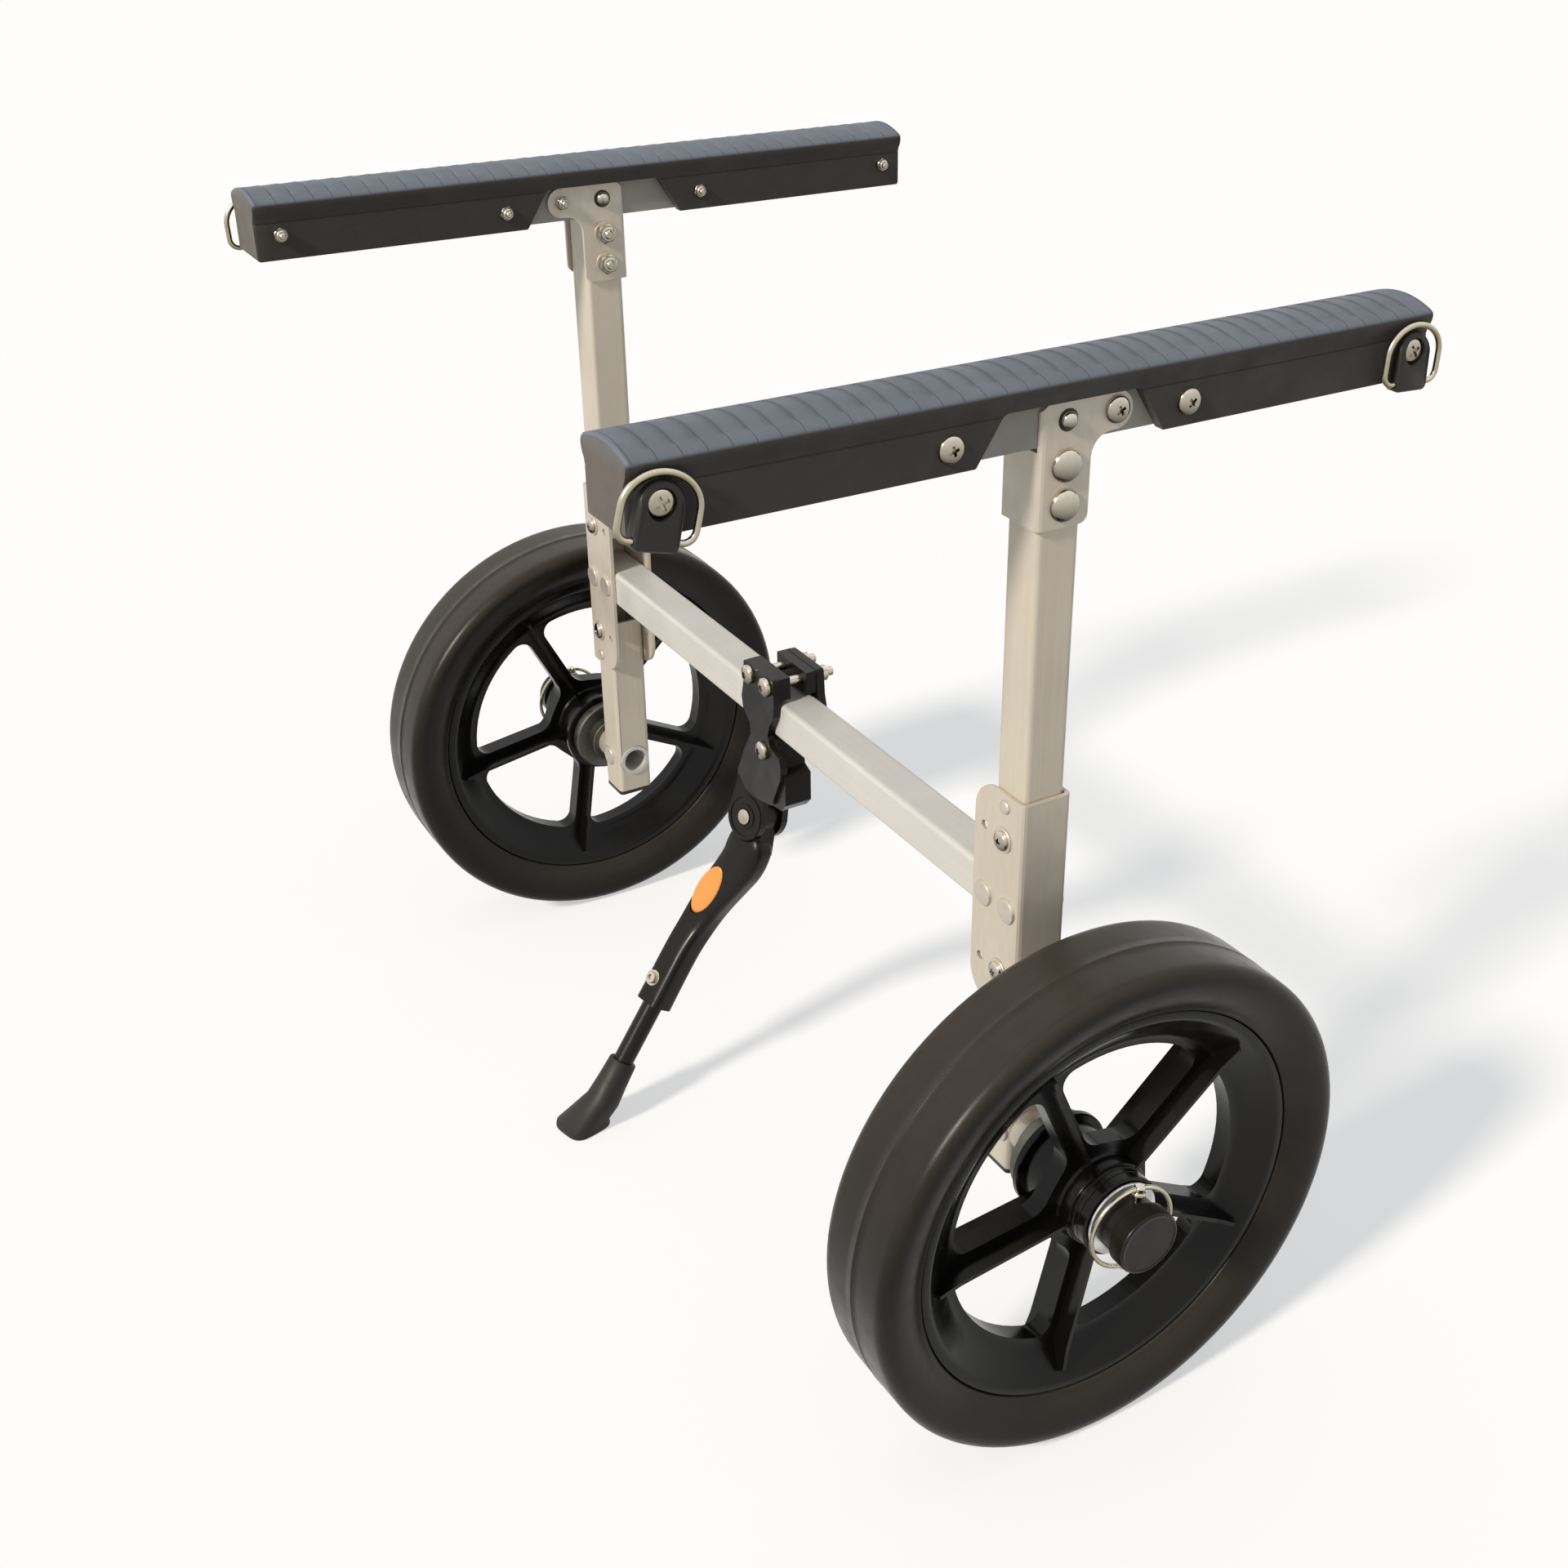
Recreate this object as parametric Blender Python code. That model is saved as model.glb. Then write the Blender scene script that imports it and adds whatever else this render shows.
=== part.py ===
# Kayak trailer: one crossbar on two wheels, two upright posts carrying padded bunks,
# and a folding stand clamped to the crossbar.
# Metres. X runs fore and aft along the bunks, Y runs along the axle line, Z is up.
# The origin is on the ground, midway between the wheels.
# The near side is at minus Y and the far side is the same set turned half a turn about Z.
import bpy, bmesh
from math import sin, cos, pi, radians, sqrt, atan2
from mathutils import Vector, Matrix

for old in list(bpy.data.objects):
    bpy.data.objects.remove(old, do_unlink=True)

# driving dimensions
tube_size = 0.0254             # square tube across the flats
tube_wall = 0.0020
tube_corner = 0.0030
fit_gap = 0.0003               # left between pieces that touch
post_offset = 0.2560           # post centre from the middle of the crossbar
crossbar_height = 0.3004       # centre of the crossbar above the ground
plate = 0.0025                 # bracket sheet
leg_below_axle = 0.0249        # lower end of the leg below the axle line
bar_clear = 0.0205             # posts and legs stop this far above and below the crossbar's faces
channel_bottom = 0.5600        # underside of the bunk channel
leg_cap_thick = 0.0025
leg_cap_plug = 0.0100
leg_cap_wall = 0.0016

frame_bracket_half = 0.0680    # half height of the frame bracket
frame_bracket_inboard = 0.0270 # flange reach inboard of the post centre
frame_bracket_round = 0.0180
frame_hole_radius = 0.0027
frame_hole_offset = 0.0182     # hole inboard of the post centre
frame_hole_rise = 0.0415
frame_hole_steps = 16

# heights in the top bracket and the bunk are from the underside of the bunk channel
top_bracket_drop = 0.0415
top_bracket_open_edge = 0.0145
top_bracket_rise = 0.0215
top_bracket_chamfer = 0.0050
top_bracket_corner = 0.0045
arm_reach = 0.0285             # arm screw from the post centre
arm_screw_rise = 0.0120
arm_round = 0.0095
arm_fillet = 0.0120

bunk_length = 0.4540
bunk_half_width = 0.0197
bunk_lip_half_width = 0.0227
bunk_skirt_drop = 0.0012
lip_start_rise = 0.0225
lip_low_rise = 0.0305
lip_high_rise = 0.0338
crown_rise = 0.0385
bunk_end_wall = 0.0050
channel_height = 0.0285
channel_wall = 0.0020
notch_half_low = 0.0545
notch_half_high = 0.0392
notch_rise = 0.0224
notch_round = 0.0050

ring_inset = 0.0140            # clip screw from the end of the bunk
clip_screw_rise = 0.0150
clip_thick = 0.0078
clip_half_width = 0.0108
clip_head_rise = 0.0066
clip_drop = 0.0205
clip_corner = 0.0030
clip_tilt_near_left = radians(14.0)   # each clip has turned a little on its screw
clip_tilt_near_right = radians(3.0)
clip_tilt_far_left = radians(-2.0)
clip_tilt_far_right = radians(2.0)
ring_wire = 0.0016
ring_play = 0.0005
ring_offset = 0.0048           # ring plane out from the bunk side
ring_bar_drop = 0.0163
ring_half_width = 0.0184
ring_corner = 0.0058
ring_side_top = 0.0058         # below the screw
ring_crown_rise = 0.0151

wheel_radius = 0.1525
tyre_half_width = 0.0300
tyre_shoulder = 0.0080
tyre_bead_half_width = 0.0197
tyre_bulge_share = 0.35
rim_radius = 0.1219
rim_lip_radius = 0.1160
rim_well_radius = 0.0985
rim_web_half = 0.0058
window_outer_radius = 0.0945
window_inner_radius = 0.0345
window_outer_round = 0.0090
window_inner_round = 0.0130
spoke_half_width = 0.0066
spoke_count = 5
# tall thin rib on both faces of a spoke: (from the axle line, from the wheel's middle plane)
rib_outline = [(0.0240, 0.0040), (0.0975, 0.0040), (0.1120, 0.0150), (0.1098, 0.0190), (0.0960, 0.0172), (0.0240, 0.0162)]
rib_half_thick = 0.00125
hub_radius = 0.0262
hub_nose_radius = 0.0245
hub_nose_length = 0.0100
hub_length = 0.0575
hub_inner_reach = 0.0305       # wheel middle plane from the hub's inboard end
hub_collar_radius = 0.0305
hub_collar_thick = 0.0045
wheel_turn_near = radians(41.0)
wheel_turn_far = radians(45.0)

axle_radius = 0.0112
axle_bore_radius = 0.0086
axle_play = 0.0006
axle_proud = 0.0012            # beyond the inboard face of the lower leg
axle_past_hub = 0.0185
collar_length = 0.0118         # from the leg to the bush
bush_radius = 0.0170
bush_big_radius = 0.0265
bush_small_length = 0.0080
bush_big_length = 0.0085
washer_radius = 0.0222
washer_thick = 0.0016
pin_past_hub = 0.0095          # lock pin through the axle
pin_radius = 0.0022
pin_reach = 0.0268
pin_wire = 0.0013
hoop_radius = 0.0252
hoop_tilt = radians(4.0)
pin_lean = radians(-8.0)       # pin from upright
axle_collar_radius = 0.0125
end_cap_radius = 0.0190
end_cap_grip = 0.0040          # over the end of the axle
end_cap_thick = 0.0070         # beyond it
end_cap_edge = 0.0009

clamp_middle = 0.0070          # clamp centre along the crossbar
clamp_plate = 0.0052
clamp_half_width = 0.0188
# heights in the clamp are from the crossbar's centre line
clamp_top = 0.0306
clamp_block_bottom = 0.0156
clamp_block_depth = 0.0125
clamp_bolt_spread = 0.0108
clamp_bolt_height = 0.0236
clamp_bolt_radius = 0.0030
clamp_head_radius = 0.0062
clamp_head_thick = 0.0042
dome_edge_share = 0.4
clamp_nut_radius = 0.0056
clamp_nut_thick = 0.0055
clamp_bolt_end = 0.0285
nut_edge_share = 0.8
nut_side_share = 0.7
low_bolt_height = -0.0234
low_bolt_along = 0.0020
arm_back = 0.0030              # rear face of the arm
# outlines of the clamp jaws and arm: (along the crossbar, height from its centre line)
jaw_outline = [(0.0258, 0.0306), (-0.0118, 0.0306), (-0.0125, 0.0136), (-0.0110, 0.0046), (-0.0055, -0.0044), (-0.0035, -0.0114),
               (-0.0060, -0.0179), (-0.0180, -0.0209), (-0.0195, -0.0274), (-0.0185, -0.0364), (-0.0065, -0.0599), (0.0120, -0.0639),
               (0.0385, -0.0639), (0.0385, -0.0544), (0.0285, -0.0344), (0.0192, -0.0194), (0.0200, -0.0114), (0.0282, -0.0049), (0.0300, 0.0036), (0.0272, 0.0136)]
arm_outline = [(0.0185, -0.0136), (-0.0100, -0.0136), (-0.0135, -0.0314), (-0.0205, -0.0344), (-0.0205, -0.0544), (-0.0150, -0.0604),
               (-0.0062, -0.0614), (0.0120, -0.0649), (0.0375, -0.0649), (0.0378, -0.0554), (0.0278, -0.0354), (0.0190, -0.0204)]
rear_outline = [(-0.0118, 0.0306), (0.0258, 0.0306), (0.0262, 0.0136), (0.0255, 0.0016), (0.0200, -0.0124), (0.0130, -0.0284),
                (0.0060, -0.0349), (-0.0040, -0.0349), (-0.0100, -0.0264), (-0.0120, -0.0144), (-0.0150, -0.0054), (-0.0160, 0.0036), (-0.0132, 0.0136)]
jaw_corner = 0.0015
pivot_at = (-0.0108, 0.0261, -0.0850)
pivot_tilt = radians(15.55)    # pivot axis rises towards minus X
pivot_turn = radians(13.94)    # and turns towards the near side
fork_radius = 0.0158
fork_cheek = 0.0050
fork_inner_half = 0.0070
fork_rise = 0.0300
fork_neck_share = 0.74
tongue_radius = 0.0128
tongue_half = 0.0065
shoulder_clear = 0.0012
tongue_root_share = 0.9
pivot_pin_radius = 0.0040
pivot_head_radius = 0.0052
pivot_head_thick = 0.0012
pivot_rivet_share = 0.7
drawn_pivot_height = 0.2154    # the leg below its head grows with the height of the pivot
leg_head_rows = 3
# stand leg sections in the leg's own frame: across, out along the pivot axis, down, half width, half depth
leg_sections = [(0.0010, 0.0010, 0.0140, 0.0115, 0.0075), (0.0005, 0.0018, 0.0185, 0.0150, 0.0086), (-0.0008, 0.0020, 0.0250, 0.0160, 0.0086), (-0.0038, 0.0020, 0.0350, 0.0156, 0.0086),
                (-0.0110, 0.0020, 0.0480, 0.0146, 0.0086), (-0.0193, 0.0020, 0.0620, 0.0136, 0.0086), (-0.0271, 0.0022, 0.0770, 0.0124, 0.0088),
                (-0.0315, 0.0058, 0.0920, 0.0111, 0.0093), (-0.0334, 0.0128, 0.1080, 0.0104, 0.0096), (-0.0345, 0.0210, 0.1280, 0.0104, 0.0096), (-0.0358, 0.0288, 0.1485, 0.0106, 0.0098)]
foot_point = (-0.0431, 0.0642, 0.24145)   # the rod's axis aims at this point, same frame
insert_at = (-0.0238, 0.0620)  # across, down
insert_lean = radians(26.0)
insert_half_long = 0.0182
insert_half_wide = 0.0086
insert_depth = 0.0022
insert_face = 0.0106           # leg's front face out from the middle of the fork
leg_square = 0.50              # 1 is an ellipse, less is squarer
rod_radius = 0.0070
rod_play = 0.0004
rod_past_knee = 0.0051         # rod inside the leg, above the second last section
bore_past_knee = 0.0200
foot_length = 0.0545           # along the rod, up from the ground
foot_edge = 0.0010
foot_bore_past = 0.0250
foot_top_radius = 0.0096
foot_mid_length = 0.0253
foot_mid_radius = 0.0112
foot_mid_square = 0.9
sole_offset = (0.0015, 0.0074) # sole centre from the rod's axis on the ground
sole_square = 0.55
sole_half = (0.0152, 0.0160)
sole_edge = 0.0020
foot_floor = 0.0060

# values that follow
half = tube_size / 2
grip = half + fit_gap          # inner face of a bracket flange
skin = grip + plate            # outer face of a bracket flange
top_bracket_bottom = channel_bottom - top_bracket_drop
top_bracket_top = channel_bottom + top_bracket_rise
arm_screw_height = channel_bottom + arm_screw_rise
bunk_bottom = channel_bottom - bunk_skirt_drop
bunk_lip_start = channel_bottom + lip_start_rise
bunk_lip_low = channel_bottom + lip_low_rise
bunk_lip_high = channel_bottom + lip_high_rise
bunk_crown = channel_bottom + crown_rise
notch_top = channel_bottom + notch_rise
clip_screw_height = channel_bottom + clip_screw_rise
leg_bottom = wheel_radius - leg_below_axle
leg_top = crossbar_height - half - bar_clear
post_bottom = crossbar_height + half + bar_clear
ring_from_middle = bunk_length / 2 - ring_inset
bush_start = post_offset + half + collar_length
bush_step = bush_start + bush_small_length
hub_inboard = bush_step + bush_big_length
hub_outboard = hub_inboard + hub_length
wheel_centre = hub_inboard + hub_inner_reach
pin_plane = hub_outboard + pin_past_hub
axle_outboard = hub_outboard + axle_past_hub
end_cap_start = axle_outboard - end_cap_grip
end_cap_end = axle_outboard + end_cap_thick

both = ((-1, "near"), (1, "far"))


def material(name, colour, metal, rough):
    m = bpy.data.materials.new(name)
    m.use_nodes = True
    b = m.node_tree.nodes["Principled BSDF"]
    b.inputs["Base Color"].default_value = (*colour, 1.0)
    b.inputs["Metallic"].default_value = metal
    b.inputs["Roughness"].default_value = rough
    return m


alloy = material("alloy", (0.62, 0.59, 0.55), 0.7, 0.45)
steel = material("steel", (0.60, 0.58, 0.54), 0.9, 0.35)
zinc = material("zinc", (0.66, 0.60, 0.42), 0.9, 0.30)
grey_paint = material("grey_paint", (0.30, 0.29, 0.27), 0.1, 0.55)
pad_rubber = material("pad_rubber", (0.06, 0.062, 0.066), 0.0, 0.75)
black_plastic = material("black_plastic", (0.018, 0.018, 0.018), 0.0, 0.45)
tyre_rubber = material("tyre_rubber", (0.03, 0.029, 0.028), 0.0, 0.7)
stand_coat = material("stand_coat", (0.05, 0.048, 0.045), 0.2, 0.45)
orange_plastic = material("orange_plastic", (0.85, 0.33, 0.05), 0.0, 0.45)


def finish(name, bm, mat, smooth=None):
    bmesh.ops.recalc_face_normals(bm, faces=bm.faces)
    me = bpy.data.meshes.new(name)
    bm.to_mesh(me)
    bm.free()
    ob = bpy.data.objects.new(name, me)
    bpy.context.scene.collection.objects.link(ob)
    if mat:
        me.materials.append(mat)
    if smooth:
        for p in me.polygons:
            p.use_smooth = True
        me.set_sharp_from_angle(angle=smooth)
    return ob


def prism(name, outline, frame, low, high, mat=None, smooth=None):
    """Closed prism: outline points (u, v) placed by frame(u, v, w) from w low to high."""
    bm = bmesh.new()
    a = [bm.verts.new(frame(u, v, low)) for u, v in outline]
    b = [bm.verts.new(frame(u, v, high)) for u, v in outline]
    bm.faces.new(list(reversed(a)))
    bm.faces.new(b)
    n = len(outline)
    for i in range(n):
        j = (i + 1) % n
        bm.faces.new((a[i], a[j], b[j], b[i]))
    return finish(name, bm, mat, smooth)


def pipe(name, outer, inner, frame, low, high, mat=None, smooth=None):
    """Open tube: two loops with the same count of points."""
    bm = bmesh.new()
    rings = []
    for loop in (outer, inner):
        for w in (low, high):
            rings.append([bm.verts.new(frame(u, v, w)) for u, v in loop])
    ol, oh, il, ih = rings
    n = len(outer)
    for i in range(n):
        j = (i + 1) % n
        bm.faces.new((ol[i], ol[j], oh[j], oh[i]))
        bm.faces.new((il[j], il[i], ih[i], ih[j]))
        bm.faces.new((oh[i], oh[j], ih[j], ih[i]))
        bm.faces.new((ol[j], ol[i], il[i], il[j]))
    return finish(name, bm, mat, smooth)


def lathe(name, profile, frame, mat=None, steps=48, smooth=radians(35)):
    """Closed ring swept round w: profile points (r, w); r may be zero at both ends."""
    bm = bmesh.new()
    loops = []
    for r, w in profile:
        if r == 0:
            loops.append([bm.verts.new(frame(0, 0, w))])
        else:
            loops.append([bm.verts.new(frame(r * cos(2 * pi * k / steps), r * sin(2 * pi * k / steps), w)) for k in range(steps)])
    n = len(loops)
    solid = len(loops[0]) == 1
    for i in range(n - 1 if solid else n):
        p, q = loops[i], loops[(i + 1) % n]
        for k in range(steps):
            m = (k + 1) % steps
            if len(p) == 1:
                bm.faces.new((p[0], q[k], q[m]))
            elif len(q) == 1:
                bm.faces.new((p[k], p[m], q[0]))
            else:
                bm.faces.new((p[k], p[m], q[m], q[k]))
    return finish(name, bm, mat, smooth)


def rod(name, centre_line, radius, mat=None, steps=12, closed=False, up=None):
    """Round wire along a line of points; a closed line gives a ring."""
    bm = bmesh.new()
    pts = [Vector(p) for p in centre_line]
    n = len(pts)
    loops = []
    for i, p in enumerate(pts):
        a = pts[i - 1] if (closed or i) else p
        b = pts[(i + 1) % n] if (closed or i < n - 1) else p
        t = (b - a).normalized()
        s = t.cross(up).normalized()
        c = s.cross(t)
        stretch = 1.0
        if closed or 0 < i < n - 1:
            turn = (p - a).normalized().angle((b - p).normalized())
            stretch = 1.0 / cos(turn / 2)
        loops.append([bm.verts.new(p + radius * (cos(2 * pi * k / steps) * s * stretch + sin(2 * pi * k / steps) * c)) for k in range(steps)])
    for i in range(n if closed else n - 1):
        p, q = loops[i], loops[(i + 1) % n]
        for k in range(steps):
            m = (k + 1) % steps
            bm.faces.new((p[k], p[m], q[m], q[k]))
    if not closed:
        bm.faces.new(loops[0])
        bm.faces.new(loops[-1])
    return finish(name, bm, mat, radians(40))


def cut(ob, cutter, operation="DIFFERENCE"):
    m = ob.modifiers.new(cutter.name, "BOOLEAN")
    m.operation = operation
    m.solver = "EXACT"
    m.object = cutter
    cutter.hide_render = True
    cutter.display_type = "WIRE"
    return ob


def bake(ob):
    """Apply the modifiers and drop the cutters they used."""
    used = [m.object for m in ob.modifiers if m.type == "BOOLEAN"]
    dg = bpy.context.evaluated_depsgraph_get()
    me = bpy.data.meshes.new_from_object(ob.evaluated_get(dg))
    ob.modifiers.clear()
    ob.data = me
    for c in used:
        bpy.data.objects.remove(c, do_unlink=True)
    return ob


def rounded(half_u, half_v, radius, steps=4, cu=0.0, cv=0.0):
    pts = []
    for sx, sy, start in ((1, 1, 0), (-1, 1, 90), (-1, -1, 180), (1, -1, 270)):
        for k in range(steps + 1):
            a = radians(start + 90 * k / steps)
            pts.append((cu + sx * (half_u - radius) + radius * cos(a), cv + sy * (half_v - radius) + radius * sin(a)))
    return pts


def soften(points, radii, steps=5):
    """Round the corners of a polygon; one radius for each corner."""
    out = []
    n = len(points)
    for i in range(n):
        p = Vector(points[i])
        a = Vector(points[i - 1]) - p
        b = Vector(points[(i + 1) % n]) - p
        r = radii[i]
        if r <= 0:
            out.append(tuple(p))
            continue
        ang = a.angle(b)
        d = r / (sin(ang / 2) / cos(ang / 2))
        d = min(d, a.length * 0.49, b.length * 0.49)
        r = d * sin(ang / 2) / cos(ang / 2)
        c = p + (a.normalized() + b.normalized()).normalized() * (r / sin(ang / 2))
        s = p + a.normalized() * d - c
        e = p + b.normalized() * d - c
        sa = atan2(s.y, s.x)
        ea = atan2(e.y, e.x)
        while ea - sa > pi:
            ea -= 2 * pi
        while ea - sa < -pi:
            ea += 2 * pi
        for k in range(steps + 1):
            t = sa + (ea - sa) * k / steps
            out.append((c.x + r * cos(t), c.y + r * sin(t)))
    return out


def disc(radius, steps=32):
    return [(radius * cos(2 * pi * k / steps), radius * sin(2 * pi * k / steps)) for k in range(steps)]



outer = rounded(half, half, tube_corner)
inner = rounded(half - tube_wall, half - tube_wall, tube_corner - tube_wall)

# crossbar, its ends against the bracket webs
pipe("crossbar", [(u, crossbar_height + v) for u, v in outer], [(u, crossbar_height + v) for u, v in inner],
     lambda u, v, w: Vector((u, w, v)), -post_offset - half, post_offset + half, alloy, radians(30))


# The near side is laid out as seen and the far side is turned half a turn about Z.
def upright(f):
    return lambda u, v, w: Vector((f * u, f * (v - post_offset), w))


def lengthwise(f):
    return lambda u, v, w: Vector((f * w, f * (u - post_offset), v))


def crosswise(f):
    return lambda u, v, w: Vector((f * u, f * (w - post_offset), v))


for side, tag in both:
    f = -side
    pipe("post_" + tag, outer, inner, upright(f), post_bottom, channel_bottom - fit_gap, alloy, radians(30))
    leg = pipe("leg_" + tag, outer, inner, upright(f), leg_bottom, leg_top, alloy, radians(30))
    bake(cut(leg, prism("leg_hole_" + tag, [(u, wheel_radius + v) for u, v in disc(axle_radius + fit_gap, 32)], crosswise(f), -tube_size, tube_size)))

    # cap with a hollow plug inside the lower leg
    plug = half - tube_wall - fit_gap
    seat = leg_bottom - fit_gap
    cap = prism("leg_cap_" + tag, rounded(half, half, tube_corner), upright(f), seat - leg_cap_thick, seat, black_plastic, radians(30))
    bake(cut(cap, pipe("leg_cap_plug_" + tag, rounded(plug, plug, leg_cap_wall / 2, 2), rounded(plug - leg_cap_wall, plug - leg_cap_wall, leg_cap_wall / 4, 2),
                       upright(f), seat - leg_cap_thick / 2, leg_bottom + leg_cap_plug), "UNION"))

    # frame bracket: a U of sheet with its web outboard
    reach = frame_bracket_inboard
    bend = plate + plate / 4
    plan = soften([(-skin, reach), (-skin, -skin), (skin, -skin), (skin, reach), (grip, reach), (grip, -grip), (-grip, -grip), (-grip, reach)],
                  [0, bend, bend, 0, 0, plate / 4, plate / 4, 0], 3)
    low, high = crossbar_height - frame_bracket_half, crossbar_height + frame_bracket_half
    bracket = prism("frame_bracket_" + tag, plan, upright(f), low, high, steel)
    side_shape = soften([(-skin - plate, low), (reach, low), (reach, high), (-skin - plate, high)], [0, frame_bracket_round, frame_bracket_round, 0], 8)
    cut(bracket, prism("frame_keep_" + tag, side_shape, lengthwise(f), -skin - plate, skin + plate), "INTERSECT")
    for k in (-1, 1):
        spot = [(frame_hole_offset + a, crossbar_height + k * frame_hole_rise + b) for a, b in disc(frame_hole_radius, frame_hole_steps)]
        cut(bracket, prism("frame_hole_%s_%d" % (tag, k), spot, lengthwise(f), -skin - plate, skin + plate))
    bake(bracket)

    # top bracket: web below the bunk, flanges with an arm along the bunk
    arm_end = arm_reach + arm_round
    plan = soften([(-skin, -skin), (arm_end, -skin), (arm_end, -grip), (-grip, -grip), (-grip, grip), (arm_end, grip), (arm_end, skin), (-skin, skin)],
                  [bend, 0, 0, plate / 4, plate / 4, 0, 0, bend], 3)
    bracket = prism("top_bracket_" + tag, plan, upright(f), top_bracket_bottom - plate, top_bracket_top + plate, steel)
    arm_low = arm_screw_height - arm_round
    nip = top_bracket_corner
    face = soften([(-skin - plate, top_bracket_bottom), (top_bracket_open_edge, top_bracket_bottom), (top_bracket_open_edge, arm_low),
                   (arm_end, arm_low), (arm_end, top_bracket_top), (nip - skin, top_bracket_top), (-skin, top_bracket_top - nip), (-skin - plate, top_bracket_top - nip)],
                  [0, top_bracket_chamfer, arm_fillet, arm_round, arm_round, nip, nip, 0], 6)
    cut(bracket, prism("top_keep_" + tag, face, crosswise(f), -skin - plate, skin + plate), "INTERSECT")
    cut(bracket, prism("top_room_" + tag, [(-skin - plate, -grip), (plate - grip, -grip), (plate - grip, grip), (-skin - plate, grip)],
                       upright(f), channel_bottom - plate, top_bracket_top + plate + plate))
    bake(bracket)

    # bunk channel, open below
    c_in = half - channel_wall
    c_top = channel_bottom + channel_height
    inside = bunk_length / 2 - bunk_end_wall - fit_gap
    section = soften([(-half, channel_bottom), (-c_in, channel_bottom), (-c_in, c_top - channel_wall), (c_in, c_top - channel_wall),
                      (c_in, channel_bottom), (half, channel_bottom), (half, c_top), (-half, c_top)], [0, 0, 0, 0, 0, 0, channel_wall, channel_wall], 3)
    prism("bunk_channel_" + tag, section, lengthwise(f), -inside, inside, grey_paint)

    # bunk cover: a moulded cap over the channel, notched on both sides for the bracket
    edge = bunk_lip_half_width - (bunk_lip_high - bunk_lip_low) / 4
    crown = [(-edge * t / 4, bunk_lip_high + (bunk_crown - bunk_lip_high) * (1 - t * t / 16)) for t in range(-4, 5)]
    section = [(-bunk_half_width, bunk_bottom), (bunk_half_width, bunk_bottom), (bunk_half_width, bunk_lip_start), (bunk_lip_half_width, bunk_lip_low)] + crown + [
        (-bunk_lip_half_width, bunk_lip_low), (-bunk_half_width, bunk_lip_start)]
    cover = prism("bunk_cover_" + tag, section, lengthwise(f), -bunk_length / 2, bunk_length / 2, pad_rubber, radians(25))
    cut(cover, prism("cover_cavity_" + tag, [(-grip, bunk_bottom - plate), (grip, bunk_bottom - plate), (grip, c_top + fit_gap), (-grip, c_top + fit_gap)],
                     lengthwise(f), -inside - fit_gap, inside + fit_gap))
    low = notch_half_low + (notch_half_low - notch_half_high) / (notch_top - bunk_bottom) * plate
    cut(cover, prism("cover_notch_" + tag, soften([(-low, bunk_bottom - plate), (low, bunk_bottom - plate), (notch_half_high, notch_top), (-notch_half_high, notch_top)],
                                                  [0, 0, notch_round, notch_round], 4), crosswise(f), -skin - skin, skin + skin))
    bake(cover)

# clips and tie rings on the outboard side of both bunks
side_face = post_offset + bunk_half_width + fit_gap
ring_plane = side_face + ring_offset
for tag, side, along, tilt in (("near_left", -1, -ring_from_middle, clip_tilt_near_left), ("near_right", -1, ring_from_middle, clip_tilt_near_right),
                               ("far_left", 1, -ring_from_middle, clip_tilt_far_left), ("far_right", 1, ring_from_middle, clip_tilt_far_right)):
    def place(u, v, w, side=side, along=along, tilt=tilt):
        return Vector((along + u * cos(tilt) + v * sin(tilt), side * w, clip_screw_height - u * sin(tilt) + v * cos(tilt)))
    head = [(clip_half_width * cos(pi * k / 12), clip_head_rise * sin(pi * k / 12)) for k in range(13)]
    foot = soften([(-clip_half_width, 0.0), (-clip_half_width, -clip_drop), (clip_half_width, -clip_drop), (clip_half_width, 0.0)],
                  [0, clip_corner, clip_corner, 0], 4)[1:-1]
    clip = prism("ring_clip_" + tag, head + foot, place, side_face, side_face + clip_thick, black_plastic, radians(30))
    bore = prism("clip_bore_" + tag, [(ring_plane + a, b - ring_bar_drop) for a, b in disc(ring_wire + ring_play, 16)],
                 lambda u, v, w: place(w, v, u), -clip_half_width - clip_half_width, clip_half_width + clip_half_width)
    bake(cut(clip, bore))
    hw, rc = ring_half_width, ring_corner
    path = [(hw * cos(pi * k / 12), ring_crown_rise * sin(pi * k / 12) - ring_side_top) for k in range(13)]
    path += [(rc - hw + rc * cos(pi + pi * k / 10), rc - ring_bar_drop + rc * sin(pi + pi * k / 10)) for k in range(6)]
    path += [(hw - rc + rc * cos(3 * pi / 2 + pi * k / 10), rc - ring_bar_drop + rc * sin(3 * pi / 2 + pi * k / 10)) for k in range(6)]
    pivot = place(0.0, -ring_bar_drop, ring_plane)
    ring = rod("tie_ring_" + tag, [place(u, v, ring_plane) - pivot for u, v in path], ring_wire, zinc, 8, True, Vector((0, 1, 0)))
    ring.location = pivot

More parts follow.
